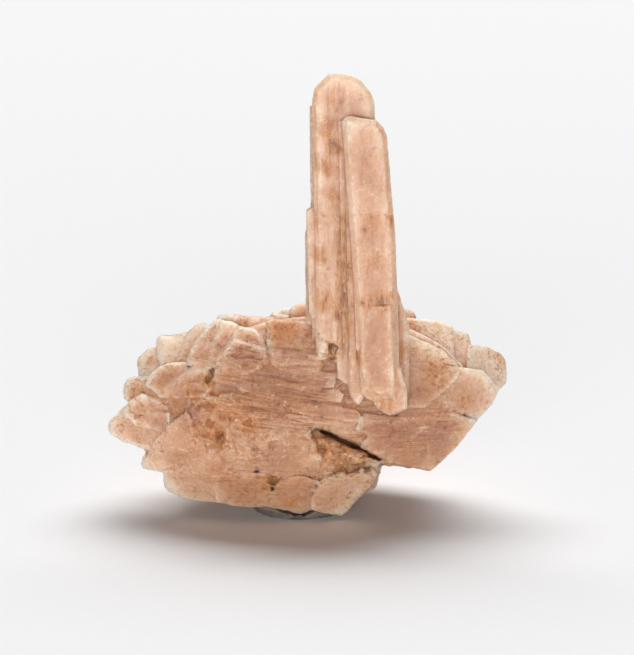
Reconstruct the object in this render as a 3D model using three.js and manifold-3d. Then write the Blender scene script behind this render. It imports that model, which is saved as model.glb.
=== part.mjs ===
// A schizolite specimen: a sheaf of flat, pale pink crystals grown together, with a group of upright
// prisms rising from its front, standing on a pad of putty.
// Millimetres. +Z is up, +X is to the right and +Y to the back, as the specimen is seen from the front.
// The origin is on the surface, under the middle of the specimen.
import * as THREE from "three";
import { ConvexGeometry } from "three/addons/geometries/ConvexGeometry.js";
import { mergeVertices } from "three/addons/utils/BufferGeometryUtils.js";
import Module from "manifold-3d";

const wasm = await Module();
wasm.setup();
const { Vector3 } = THREE;
const radians = THREE.MathUtils.degToRad;

// How the specimen is seen: from the front, a little from above. The outlines below are [across, up] in
// millimetres on a picture plane that is square to that line of sight and meets the surface at PICTURE_Y.
const VIEW_TILT = radians(15);
const VIEW_DISTANCE = 400;
const PICTURE_Y = -4.5;
const PICTURE_MIDDLE = { across: 0.9, up: 19.05 };

// The sheaf is a lens on edge: a long bulge that is deepest in the middle and thin at its rim.
const SHEAF = { across: -0.3, up: 10.7, halfLength: 20.5, halfHeight: 11.5, tilt: radians(7), front: 10.2, roundness: 0.6 };
const SHEAF_BACK = { x: -0.2, z: 10.1, halfLength: 17.2, halfHeight: 8.3, depth: 9.6 };

// How far the lens that the crystals grow from lies under the sheaf's front.
const HEART_INSET = 0.2;

// The upright group's main faces, as distances to the front of the sheaf's middle.
const UPRIGHT = { lean: 3, tallFace: 9.2, frontFace: 11.3, lowFace: 12.1 };

const PAD = { x: -0.9, y: -0.6, radius: 5.4, height: 3.6, foot: 4.6, gap: 0.3 };

// Moves the finished specimen so that the origin is under the middle of its bounding box.
const PLACE = { x: 0, y: 0.63 };

const sight = new Vector3(0, Math.cos(VIEW_TILT), -Math.sin(VIEW_TILT));
const pictureUp = new Vector3(0, Math.sin(VIEW_TILT), Math.cos(VIEW_TILT));

function pictureOf([across, up]) {
  return new Vector3(across, PICTURE_Y, 0).addScaledVector(pictureUp, up);
}

const eye = pictureOf([PICTURE_MIDDLE.across, PICTURE_MIDDLE.up]).addScaledVector(sight, -VIEW_DISTANCE);

// The point of a plane that is seen at one place of the picture.
function seenOn(plane, place) {
  const ray = new THREE.Ray(eye, pictureOf(place).sub(eye).normalize());
  const point = ray.intersectPlane(plane, new Vector3());
  if (!point) throw new Error("the plane isn't seen at " + place);
  return point;
}

function verticalPlaneAt(y) {
  return new THREE.Plane(new Vector3(0, -1, 0), y);
}

// How far back the front of the sheaf lies, at a place of the picture.
function sheafFront(across, up) {
  const [dx, dh] = [across - SHEAF.across, up - SHEAF.up];
  const a = (dx * Math.cos(SHEAF.tilt) + dh * Math.sin(SHEAF.tilt)) / SHEAF.halfLength;
  const u = (dh * Math.cos(SHEAF.tilt) - dx * Math.sin(SHEAF.tilt)) / SHEAF.halfHeight;
  return -SHEAF.front * Math.max(0.002, 1 - a * a - u * u) ** SHEAF.roundness;
}

// The sheaf's outward direction at a place of the picture, flattened towards the viewer by follow.
function sheafNormal(across, up, follow) {
  const step = 0.5;
  const slope = (da, du) => sheafFront(across + da, up + du) - sheafFront(across - da, up - du);
  return new Vector3((follow * slope(step, 0)) / (2 * step), -1, (follow * slope(0, step)) / (2 * step)).normalize();
}

// A direction to the front that is turned to the right and leant upwards, in degrees.
function facing(turn, lean) {
  const t = radians(turn);
  const l = radians(lean);
  return new Vector3(Math.sin(t) * Math.cos(l), -Math.cos(t) * Math.cos(l), Math.sin(l));
}

function middleOf(outline) {
  const sum = outline.reduce(([a, u], [x, h]) => [a + x, u + h], [0, 0]);
  return [sum[0] / outline.length, sum[1] / outline.length];
}

// The outline moved inwards by a distance, corner by corner.
function inset(outline, distance) {
  if (!distance) return outline;
  const middle = middleOf(outline);
  return outline.map((corner, i) => {
    const before = outline[(i + outline.length - 1) % outline.length];
    const after = outline[(i + 1) % outline.length];
    const inward = [before, after].map((other) => {
      const along = [other[0] - corner[0], other[1] - corner[1]];
      const length = Math.hypot(...along) || 1;
      const normal = [-along[1] / length, along[0] / length];
      const side = normal[0] * (middle[0] - corner[0]) + normal[1] * (middle[1] - corner[1]);
      return side < 0 ? [-normal[0], -normal[1]] : normal;
    });
    const way = [inward[0][0] + inward[1][0], inward[0][1] + inward[1][1]];
    const length = Math.hypot(...way) || 1;
    const reach = Math.min(1.5, 2 / length) * distance;
    const toMiddle = Math.hypot(middle[0] - corner[0], middle[1] - corner[1]);
    const share = Math.min(reach, 0.8 * toMiddle) / length;
    return [corner[0] + way[0] * share, corner[1] + way[1] * share];
  });
}

function solidOf(geometry) {
  const bare = geometry.clone();
  bare.deleteAttribute("normal");
  bare.deleteAttribute("uv");
  const merged = mergeVertices(bare, 1e-4);
  const solid = new wasm.Manifold(
    new wasm.Mesh({
      numProp: 3,
      vertProperties: merged.getAttribute("position").array,
      triVerts: new Uint32Array(merged.index.array),
    }),
  );
  if (solid.volume() <= 0) throw new Error("a crystal came out with no volume");
  return solid;
}

function hullOf(points) {
  return solidOf(new ConvexGeometry(points));
}

// A crystal with a broad face towards the viewer, given by its outline in the picture.
// face is how far back the middle of the face lies, normal is the way the face looks, bevel is the width of the
// facets round it (none with 0), thick is how far the crystal goes back and taper how much it narrows on the way.
function facedCrystal(outline, { face, normal, bevel = 0.25, thick = 3, taper = 0.8 }) {
  const middle = seenOn(verticalPlaneAt(face), middleOf(outline));
  const ring = (back, narrower) => {
    const through = middle.clone().addScaledVector(sight, back);
    const plane = new THREE.Plane().setFromNormalAndCoplanarPoint(normal, through);
    return inset(outline, narrower).map((place) => seenOn(plane, place));
  };
  const edge = bevel > 0 ? ring(bevel * 0.9, 0) : [];
  return hullOf([...ring(0, bevel), ...edge, ...ring(thick, taper)]);
}

// A crystal of the sheaf: proud is how far its face stands out from the sheaf's own front.
function plate(outline, { proud = 0, turn, lean, follow = 0.75, ...form } = {}) {
  const [across, up] = middleOf(outline);
  const natural = sheafNormal(across, up, follow);
  const naturalTurn = THREE.MathUtils.radToDeg(Math.atan2(natural.x, -natural.y));
  const naturalLean = THREE.MathUtils.radToDeg(Math.asin(natural.z));
  const normal = facing(naturalTurn + (turn ?? 0), naturalLean + (lean ?? 0));
  return facedCrystal(outline, { face: sheafFront(across, up) - proud, normal, ...form });
}

// A prism of the upright group: out is the distance of its face to the front.
function prism(outline, { out, turn = 0, lean = UPRIGHT.lean, ...form }) {
  return facedCrystal(outline, { face: -out, normal: facing(turn, lean), taper: 0.3, ...form });
}

// The outline of a narrow splinter between two places, pointed at both ends.
function splinter([x0, h0], [x1, h1], width) {
  const length = Math.hypot(x1 - x0, h1 - h0);
  const along = [(x1 - x0) / length, (h1 - h0) / length];
  const side = [(-along[1] * width) / 2, (along[0] * width) / 2];
  const point = Math.min(width * 0.8, length * 0.2);
  const at = (distance, sideways) => [
    x0 + along[0] * distance + side[0] * sideways,
    h0 + along[1] * distance + side[1] * sideways,
  ];
  return [
    at(0, 0.2),
    at(point, 1),
    at(length - point * 0.7, 1),
    at(length, -0.1),
    at(length - point, -1),
    at(point * 0.6, -1),
  ];
}

// The same order of numbers between 0 and 1 each time.
function evenRandom(seed) {
  let state = seed;
  return () => {
    state = (state * 1664525 + 1013904223) % 4294967296;
    return state / 4294967296;
  };
}

// The rim of the sheaf as it shows past the nearer crystals, from the top left to the right-hand tip.
function rimCrystals() {
  return [
    plate([[-9.2, 20.0], [-8.9, 20.35], [-7.2, 20.4], [-5.9, 20.2], [-5.2, 18.0], [-8.6, 17.6]], { proud: -1.6, thick: 5, taper: 0.3 }),
    plate([[-6.9, 20.2], [-5.8, 20.2], [-4.0, 20.15], [-3.3, 20.1], [-3.6, 17.6], [-6.6, 17.6]],
      { proud: -1.1, turn: 9, thick: 4.6, taper: 0.3 }),
    plate([[-3.9, 20.1], [-3.55, 20.65], [-1.95, 20.25], [-1.7, 18.0], [-4.1, 17.8]], { proud: -2.2, thick: 5.2, taper: 0.2 }),
    plate([[-1.85, 20.0], [-1.8, 20.9], [-1.1, 21.5], [0.6, 21.4], [1.8, 20.2], [0.9, 17.6], [-1.6, 17.6]],
      { proud: -2.6, thick: 5.6, taper: 0.4 }),
    plate([[8.4, 21.1], [9.3, 21.05], [10.65, 20.65], [10.85, 19.9], [10.5, 17.0], [8.0, 17.0]], { proud: -2.4, thick: 5.6, taper: 0.3 }),
    plate([[9.8, 20.0], [12.5, 19.85], [13.7, 19.55], [14.5, 19.2], [14.65, 17.0], [14.8, 15.2], [12.0, 15.0], [9.6, 16.5]],
      { proud: -1.0, turn: -5, thick: 5.6, taper: 0.6 }),
    plate([[14.1, 18.85], [16.0, 18.45], [16.25, 17.9], [16.5, 16.2], [16.4, 14.4], [14.1, 14.6]],
      { proud: -0.7, thick: 4.8, taper: 0.4 }),
    plate([[16.0, 17.4], [17.8, 17.25], [18.6, 16.6], [19.45, 16.35], [19.75, 15.8], [19.9, 14.4], [19.8, 13.4], [19.2, 12.8],
      [17.0, 12.6], [15.8, 14.8]], { proud: -0.2, turn: 5, thick: 4.6, taper: 0.7 }),
  ];
}

// The flat crystals that overlap like shingles on the left.
function shingles() {
  return [
    plate([[-17.15, 15.6], [-17.0, 16.05], [-16.4, 16.35], [-15.95, 17.0], [-15.1, 17.1], [-13.6, 16.0], [-13.6, 14.2],
      [-16.9, 14.1]], { proud: -0.1, thick: 4.6, taper: 0.4 }),
    plate([[-13.5, 18.3], [-13.0, 18.68], [-11.95, 18.6], [-11.0, 17.3], [-12.3, 16.0], [-13.8, 16.6]], { proud: -0.7, thick: 4 }),
    plate([[-15.2, 17.0], [-15.15, 18.0], [-14.75, 18.35], [-13.6, 18.4], [-11.9, 18.0], [-11.2, 16.6], [-12.6, 15.2],
      [-14.8, 15.0]], { proud: 0.2, turn: 4, thick: 5, taper: 0.4 }),
    plate([[-12.1, 18.5], [-11.5, 19.1], [-11.0, 19.45], [-10.2, 19.55], [-9.0, 18.0], [-10.6, 15.6], [-13.3, 15.7]],
      { proud: 0.1, turn: -9, thick: 5.2, taper: 0.3 }),
    plate([[-18.5, 12.7], [-18.35, 13.5], [-18.0, 14.0], [-17.3, 14.2], [-15.9, 14.2], [-14.4, 13.4], [-14.8, 11.4],
      [-17.0, 10.8], [-18.35, 11.9]], { proud: 0.1, lean: 8, thick: 4.4, taper: 0.5 }),
    plate([[-16.3, 13.3], [-15.75, 14.4], [-14.95, 15.1], [-14.0, 15.5], [-12.1, 15.6], [-11.6, 14.2], [-12.6, 12.6],
      [-15.0, 12.3]], { proud: 0.4, lean: 4, thick: 4 }),
    plate([[-18.4, 11.2], [-19.1, 10.35], [-19.85, 9.7], [-20.0, 8.9], [-19.85, 8.35], [-18.6, 7.7], [-17.6, 7.55],
      [-16.2, 6.75], [-13.6, 7.6], [-13.8, 10.6]], { proud: 0.0, turn: -4, thick: 4.4, taper: 0.6 }),
    plate([[-18.4, 11.0], [-17.9, 11.8], [-16.6, 12.5], [-15.4, 12.05], [-14.0, 11.3], [-13.2, 9.8], [-15.0, 8.6],
      [-17.2, 9.2], [-18.3, 10.3]], { proud: 0.4, turn: 4, thick: 4 }),
    plate([[-14.4, 13.2], [-13.3, 14.0], [-12.0, 14.6], [-11.3, 15.4], [-10.1, 15.3], [-9.3, 13.8], [-9.9, 12.2],
      [-12.2, 11.8], [-15.0, 12.1]], { proud: 0.3, lean: -3, follow: 0.85 }),
    plate([[-11.7, 16.9], [-10.3, 19.15], [-9.0, 19.95], [-8.0, 19.7], [-9.2, 16.6], [-9.6, 14.8], [-12.3, 15.3]],
      { proud: 0.5, turn: -5, lean: 3, follow: 0.85 }),
    plate([[-10.1, 15.3], [-9.95, 16.8], [-8.7, 19.8], [-7.4, 19.6], [-6.9, 19.3], [-6.6, 17.6], [-8.6, 14.6]],
      { proud: 0.6, turn: -3, follow: 0.85 }),
    plate([[-8.1, 17.2], [-7.0, 19.25], [-5.3, 18.95], [-4.6, 18.2], [-4.1, 17.15], [-4.0, 15.4], [-6.0, 14.2], [-8.8, 14.8],
      [-9.5, 15.5]], { proud: 0.5, lean: 4, follow: 0.85 }),
    plate([[-7.5, 18.0], [-6.2, 17.6], [-4.2, 17.0], [-4.1, 15.2], [-7.0, 14.5], [-8.7, 16.2]], { proud: 0.65, lean: -2, follow: 0.85 }),
    plate([[-4.1, 17.2], [-3.75, 18.1], [-4.3, 19.6], [-3.6, 19.9], [-1.0, 19.75], [1.6, 19.5], [2.4, 17.5], [1.0, 15.2],
      [-3.6, 15.2]], { proud: 0.4, turn: 2, lean: 4, follow: 0.85, thick: 5 }),
  ];
}

// The middle: a broken face across the sheaf, with low ledges where the layers of crystal that lie along it end.
function brokenMiddle() {
  // Each ledge as [left end, right end, width, how far out].
  const ledges = [
    [[-8.2, 16.0], [1.6, 15.6], 1.7, 0.02],
    [[-9.6, 14.2], [3.0, 14.0], 2.2, -0.08],
    [[-7.0, 13.2], [3.6, 12.2], 1.3, 0.04],
    [[-9.2, 12.0], [-0.8, 11.6], 1.4, 0.0],
    [[-2.6, 11.4], [5.4, 10.2], 1.5, 0.06],
    [[-6.0, 10.4], [1.6, 9.6], 1.0, 0.0],
    [[-5.4, 7.8], [0.2, 7.4], 1.6, 0.04],
    [[-7.2, 6.0], [1.4, 5.6], 2.0, 0.0],
  ];
  const random = evenRandom(17);
  return ledges.map(([left, right, width, proud]) => {
    const along = [right[0] - left[0], right[1] - left[1]];
    const outline = [];
    for (const [share, side] of [[0, -0.2], [0.03, 0.3], [0.3, 0.5], [0.7, 0.42], [0.96, 0.36], [1, 0.1], [0.97, -0.4],
      [0.6, -0.5], [0.2, -0.42]]) {
      const wobble = 0.16 * (random() - 0.5);
      outline.push([left[0] + along[0] * share, left[1] + along[1] * share + width * (side + wobble)]);
    }
    return plate(outline, { proud, follow: 0.95, bevel: 0, thick: 1.4, taper: 0 });
  });
}

// The smooth and broken faces low on the left, and the lobe that hangs under the cleft.
function lowerLobe() {
  return [
    plate([[-16.0, 6.85], [-15.2, 8.0], [-13.3, 9.9], [-12.1, 10.9], [-11.4, 9.6], [-10.8, 8.0], [-10.0, 6.9], [-12.2, 6.6]],
      { proud: 0.35, turn: 3, follow: 0.85, thick: 4, bevel: 0.12 }),
    plate([[-16.1, 6.6], [-12.2, 7.2], [-10.2, 7.3], [-9.3, 6.9], [-8.4, 5.4], [-8.4, 4.0], [-14.4, 4.6], [-15.8, 4.75],
      [-16.6, 5.0], [-16.75, 5.5], [-16.55, 6.2]], { proud: 0.35, lean: 4, follow: 0.8, thick: 4, bevel: 0.12 }),
    plate([[-14.5, 4.9], [-14.45, 3.2], [-14.0, 2.65], [-12.4, 1.9], [-11.0, 1.65], [-8.4, 1.5], [-8.0, 5.0]],
      { proud: 0.55, follow: 0.65, thick: 4, taper: 1.0, bevel: 0.12 }),
    plate([[-9.6, 4.4], [-7.0, 4.8], [-3.4, 4.4], [-3.9, 1.1], [-5.7, 0.95], [-6.9, 1.3], [-9.2, 1.5]],
      { proud: 0.7, turn: -2, follow: 0.65, thick: 5, taper: 1.0, bevel: 0.12 }),
    plate([[-4.4, 1.1], [-3.0, 4.0], [-0.5, 4.4], [1.2, 3.8], [0.8, 0.9], [0.1, 0.65], [-0.6, 0.3], [-1.5, 0.5], [-3.2, 0.95]],
      { proud: 0.8, turn: 3, follow: 0.6, thick: 4, taper: 1.0, bevel: 0.12 }),
    plate([[0.3, 2.2], [1.0, 3.8], [2.0, 4.45], [4.0, 4.3], [6.4, 5.0], [6.9, 4.6], [7.05, 4.1], [6.75, 3.5], [5.4, 2.2],
      [3.85, 0.5], [3.3, 0.1], [1.3, 0.45], [0.1, 0.7]], { proud: 0.95, turn: 5, follow: 0.6, thick: 3.0, taper: 1.0, bevel: 0.12 }),
    // The raised rims round the pits.
    ...[
      [[-11.9, 12.6], [-9.3, 11.9], 0.45, 0.15],
      [[-9.8, 12.2], [-7.4, 11.2], 0.5, 0.15],
      [[-8.0, 11.2], [-5.2, 10.5], 0.5, 0.12],
      [[-9.9, 9.4], [-9.3, 7.0], 0.6, 0.15],
      [[-8.1, 9.0], [-7.5, 6.2], 0.6, 0.15],
      [[-7.9, 9.9], [-5.4, 8.9], 0.7, 0.12],
      [[-9.8, 7.0], [-8.2, 4.9], 0.5, 0.2],
    ].map(([from, to, width, proud]) => plate(splinter(from, to, width), { proud, bevel: 0, thick: 1.6, taper: 0 })),
  ];
}

// The larger crystals to the right of the upright group, stepping down to the pointed right-hand lobe.
function rightLobe() {
  return [
    plate([[12.9, 14.2], [13.2, 12.8], [13.8, 11.0], [16.9, 9.75], [17.9, 10.8], [18.4, 11.35], [18.6, 12.2], [19.2, 12.9],
      [17.5, 14.8], [15.2, 15.1]], { proud: 0.3, turn: 4, follow: 0.8, thick: 5, bevel: 0.12 }),
    plate([[8.4, 18.9], [10.2, 18.35], [12.2, 17.45], [13.7, 16.6], [14.85, 15.6], [15.2, 14.8], [15.05, 14.0], [13.2, 12.9],
      [12.0, 11.0], [8.0, 11.0]], { proud: 0.35, turn: 2, lean: 3, follow: 0.85, thick: 5, bevel: 0.12 }),
    plate([[9.0, 11.6], [12.4, 12.4], [13.4, 12.7], [14.1, 12.1], [14.6, 11.0], [14.0, 9.6], [12.6, 8.9], [9.0, 9.2]],
      { proud: 0.25, turn: -2, follow: 0.85, thick: 4, bevel: 0.12 }),
    plate([[5.2, 7.4], [7.2, 6.2], [9.2, 5.15], [10.3, 4.75], [11.2, 4.95], [12.2, 4.7], [13.3, 5.5], [15.0, 7.2], [17.0, 9.75],
      [14.0, 10.6], [9.0, 9.8], [6.2, 8.4]], { proud: 0.1, follow: 0.85, thick: 6, bevel: 0.15, lean: 2 }),
    plate([[12.2, 9.2], [13.2, 10.1], [14.4, 10.25], [16.85, 9.75], [15.0, 7.3], [13.3, 5.6], [12.4, 5.2], [11.9, 7.0]],
      { proud: 0.25, turn: 4, follow: 0.85, thick: 4, bevel: 0.12 }),
    plate([[5.6, 10.6], [11.0, 9.9], [12.6, 8.8], [12.0, 7.4], [9.0, 7.0], [4.6, 8.8]],
      { proud: 0.1, follow: 0.95, bevel: 0, thick: 2 }),
    plate([[6.2, 7.6], [9.6, 7.2], [12.2, 6.4], [11.6, 5.4], [9.0, 5.8]], { proud: 0.15, follow: 0.9, bevel: 0, thick: 2 }),
  ];
}

// The upright group: prisms side by side, each with its own height and end.
function uprightGroup() {
  const { tallFace, frontFace, lowFace } = UPRIGHT;
  const solids = [
    prism([[0.4, 41.5], [0.6, 43.0], [2.1, 44.45], [4.4, 44.25], [5.2, 43.85], [6.3, 42.5], [6.65, 41.6], [6.75, 39.0],
      [7.4, 16.0], [0.8, 16.0]], { out: tallFace, thick: 6, bevel: 0.5 }),
    prism([[0.1, 41.2], [0.8, 41.5], [1.6, 40.0], [1.4, 18.0], [0.4, 18.0], [0.2, 36.0]], { out: tallFace - 1.6, thick: 2.6 }),
    prism([[-0.15, 30.85], [0.5, 31.25], [2.0, 31.0], [2.4, 18.6], [0.4, 19.0], [-0.12, 24.0]], { out: tallFace - 0.2, thick: 4.6 }),
    prism([[-0.32, 28.7], [0.3, 29.05], [1.2, 28.0], [1.0, 19.0], [-0.1, 19.4], [-0.3, 24.0]], { out: tallFace - 1.8, thick: 2.4 }),
    prism([[3.35, 39.7], [3.7, 40.1], [4.3, 40.2], [6.9, 39.75], [7.55, 39.05], [7.9, 38.2], [8.05, 35.5], [8.4, 31.5],
      [8.75, 28.2], [8.8, 24.0], [9.0, 21.0], [9.2, 13.0], [8.6, 11.8], [5.3, 12.4], [5.0, 22.0], [4.5, 32.0]],
      { out: frontFace, turn: 3, thick: 5, bevel: 0.55 }),
    prism([[8.3, 25.0], [8.75, 23.4], [9.0, 21.0], [9.7, 20.4], [10.1, 19.2], [10.15, 13.0], [9.9, 11.0], [8.4, 10.9], [7.9, 16.0]],
      { out: frontFace - 1.0, turn: 32, thick: 4, bevel: 0.3 }),
    prism([[6.0, 21.35], [8.3, 21.25], [8.5, 17.0], [8.65, 12.75], [7.0, 12.35], [5.5, 13.9], [5.2, 15.5], [5.3, 18.0], [5.7, 20.0]],
      { out: lowFace, turn: -4, thick: 3, bevel: 0.18 }),
    prism([[4.0, 18.0], [3.95, 13.6], [4.15, 12.4], [4.5, 11.65], [5.1, 11.3], [5.5, 11.9], [5.9, 14.0], [5.6, 20.0], [4.6, 21.0]],
      { out: frontFace - 0.3, turn: -8, thick: 4, bevel: 0.3 }),
    prism([[6.3, 13.0], [6.6, 11.5], [7.0, 10.95], [7.9, 10.7], [8.15, 10.2], [8.8, 10.4], [9.9, 10.9], [9.95, 12.5], [9.3, 15.0],
      [7.0, 15.5]], { out: frontFace + 0.1, lean: -9, thick: 4, bevel: 0.3 }),
    prism([[2.5, 17.2], [2.8, 15.0], [3.0, 13.85], [3.9, 13.35], [4.5, 14.0], [4.6, 17.4], [3.8, 18.6]],
      { out: tallFace + 1.2, turn: -10, thick: 4, bevel: 0.25 }),
    prism([[5.2, 16.0], [5.4, 12.4], [5.9, 11.9], [6.9, 11.6], [8.8, 12.2], [8.9, 15.0]], { out: frontFace + 0.4, lean: -5, thick: 3 }),
  ];
  // Prisms behind the tall one, with their faces to the back, as [outline, how far out, thick].
  const behind = [
    [[[0.7, 37.5], [1.2, 38.6], [3.0, 38.9], [3.5, 37.6], [3.8, 16.0], [1.2, 16.0]], 4.6, 2.6],
    [[[3.1, 42.0], [3.6, 43.0], [5.2, 42.6], [5.7, 41.4], [6.1, 16.0], [3.4, 16.0]], 4.4, 2.0],
    [[[5.0, 33.0], [5.5, 34.4], [6.4, 34.2], [6.8, 33.0], [7.2, 16.0], [5.4, 16.0]], 4.8, 2.6],
    [[[2.2, 29.6], [2.6, 30.4], [4.2, 30.2], [4.6, 29.0], [5.0, 16.0], [2.4, 16.0]], 3.6, 3.0],
  ];
  for (const [outline, out, thick] of behind) {
    solids.push(prism(outline, { out, thick, bevel: 0.2, taper: 0.35 }));
  }
  // Narrow prisms down the left of the front, as [head, foot, width, how far out].
  const strips = [
    [[0.25, 31.0], [0.5, 19.9], 0.75, 0.1],
    [[0.85, 36.6], [1.15, 19.7], 0.5, 0.35],
    [[1.0, 38.2], [1.75, 19.4], 0.5, 0.15],
    [[1.5, 35.4], [2.2, 17.5], 0.5, 0.5],
    [[2.3, 31.3], [2.65, 17.4], 0.5, 0.75],
    [[2.7, 33.6], [3.2, 17.2], 0.6, 0.45],
    [[3.3, 39.9], [3.8, 17.0], 0.6, 0.8],
    [[3.95, 38.6], [4.5, 15.0], 0.7, 1.35],
    [[4.4, 36.6], [5.1, 16.5], 0.55, 2.0],
  ];
  for (const [head, foot, width, out] of strips) {
    solids.push(prism(splinter(head, foot, width), { out: tallFace + out, turn: -6, thick: 2.4, bevel: 0, taper: 0 }));
  }
  return solids;
}

// A flat crystal of the hidden side: its broad face is centred on middle and looks along face, its tip points along.
function blade(middle, along, face, { length, width, thick, skew }) {
  const ahead = along.clone().addScaledVector(face, -along.dot(face)).normalize();
  const side = new Vector3().crossVectors(ahead, face);
  const outline = [[-0.5, -0.42], [-0.5, 0.42], [0.36, 0.5 - skew], [0.5, 0.2 - skew], [0.45, -0.32 - skew], [0.28, -0.5]];
  const ring = (back, spread) =>
    outline.map(([l, w]) => {
      const point = middle.clone().addScaledVector(face, -back);
      return point.addScaledVector(ahead, l * length * spread).addScaledVector(side, w * width * spread);
    });
  return hullOf([...ring(0, 1), ...ring(thick, 0.82)]);
}

// The hidden side: rings of flat crystals that spread from the middle of the back, the inner ones on top.
function hiddenSide() {
  const { x, z, halfLength, halfHeight, depth } = SHEAF_BACK;
  const random = evenRandom(29);
  const rings = [
    { share: 0.93, crystals: 13, length: 6.2, width: 7.0, thick: 5.6, proud: -0.3 },
    { share: 0.8, crystals: 12, length: 7.0, width: 6.2, thick: 5.0, proud: -0.1 },
    { share: 0.58, crystals: 11, length: 8.0, width: 5.6, thick: 3.4, proud: 0.2 },
    { share: 0.32, crystals: 7, length: 9.0, width: 5.0, thick: 2.6, proud: 0.3 },
    { share: 0.1, crystals: 3, length: 10.0, width: 5.6, thick: 2.4, proud: 0.4 },
  ];
  const solids = [];
  rings.forEach(({ share, crystals, length, width, thick, proud }, ring) => {
    for (let i = 0; i < crystals; i++) {
      const angle = ((i + 0.4 * ring + 0.3 * (random() - 0.5)) / crystals) * 2 * Math.PI;
      // At the lower right the front of the sheaf is cut off, so the back keeps further in there.
      const cutOff = Math.cos(angle) > 0.3 && Math.sin(angle) < 0.05 && share > 0.75 ? 0.88 : 1;
      const reach = cutOff * share * (0.96 + 0.08 * random());
      const away = new Vector3(Math.cos(angle) * reach * halfLength, 0, Math.sin(angle) * reach * halfHeight);
      const bulge = (1 - reach * reach) ** SHEAF.roundness;
      const slope = new Vector3((away.x * depth) / halfLength ** 2, bulge, (away.z * depth) / halfHeight ** 2);
      const face = slope.multiply(new Vector3(0.8, 1, 0.6));
      face.x += 0.07 * (random() - 0.5);
      face.z += 0.07 * (random() - 0.5);
      face.normalize();
      const middle = new Vector3(x + away.x, depth * bulge, z + away.z).addScaledVector(face, proud + 0.25 * (i % 3));
      const size = 0.85 + 0.3 * random();
      const skew = 0.2 * (random() - 0.5);
      solids.push(blade(middle, away, face, { length: length * size, width: width * size, thick, skew }));
    }
  });
  return solids;
}

// What the crystals have grown from: a smooth lens just under their faces.
function heart() {
  const { halfLength, halfHeight, depth, x, z } = SHEAF_BACK;
  const points = [];
  for (const [reach, corners] of [[0, 1], [0.16, 8], [0.32, 15], [0.46, 20], [0.6, 24], [0.72, 27], [0.82, 30]]) {
    for (let i = 0; i < corners; i++) {
      const angle = ((i + 3 * reach) / corners) * 2 * Math.PI;
      const [a, u] = [Math.cos(angle) * reach * SHEAF.halfLength, Math.sin(angle) * reach * SHEAF.halfHeight];
      const across = SHEAF.across + a * Math.cos(SHEAF.tilt) - u * Math.sin(SHEAF.tilt);
      const up = SHEAF.up + a * Math.sin(SHEAF.tilt) + u * Math.cos(SHEAF.tilt);
      points.push(seenOn(verticalPlaneAt(sheafFront(across, up) + HEART_INSET), [across, up]));
    }
  }
  for (const [reach, corners] of [[0.3, 6], [0.62, 11]]) {
    for (let i = 0; i < corners; i++) {
      const angle = (i / corners) * 2 * Math.PI;
      const back = depth * (1 - reach * reach) ** SHEAF.roundness - 1.2;
      points.push(new Vector3(x + Math.cos(angle) * reach * halfLength, back, z + Math.sin(angle) * reach * halfHeight));
    }
  }
  return [hullOf(points)];
}

// A wedge cut into the specimen from the front, from an outline in the picture.
function cut(outline, { from, to, narrow = 0.4 }) {
  const rim = outline.map((place) => seenOn(verticalPlaneAt(from), place));
  const floor = inset(outline, narrow).map((place) => seenOn(verticalPlaneAt(to), place));
  return hullOf([...rim, ...floor]);
}

// A shallow recess with a flat floor, placed as a crystal of the sheaf is.
function recess(outline, { proud, turn, lean }) {
  const [across, up] = middleOf(outline);
  const floor = seenOn(verticalPlaneAt(sheafFront(across, up) - proud), [across, up]);
  const plane = new THREE.Plane().setFromNormalAndCoplanarPoint(facing(turn, lean), floor);
  const mouth = outline.map((place) => seenOn(verticalPlaneAt(-14), place));
  return hullOf([...mouth, ...outline.map((place) => seenOn(plane, place))]);
}

// A pit with flat sides: deep is its depth below the sheaf's front.
function pit([across, up], { wide, high, deep, out = 0.8, turn = 0 }) {
  const geometry = new THREE.IcosahedronGeometry(1, 0);
  geometry.scale(wide, deep, high);
  geometry.rotateY(radians(turn));
  const middle = seenOn(verticalPlaneAt(sheafFront(across, up) - out), [across, up]);
  geometry.translate(middle.x, middle.y, middle.z);
  return solidOf(geometry);
}

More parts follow.
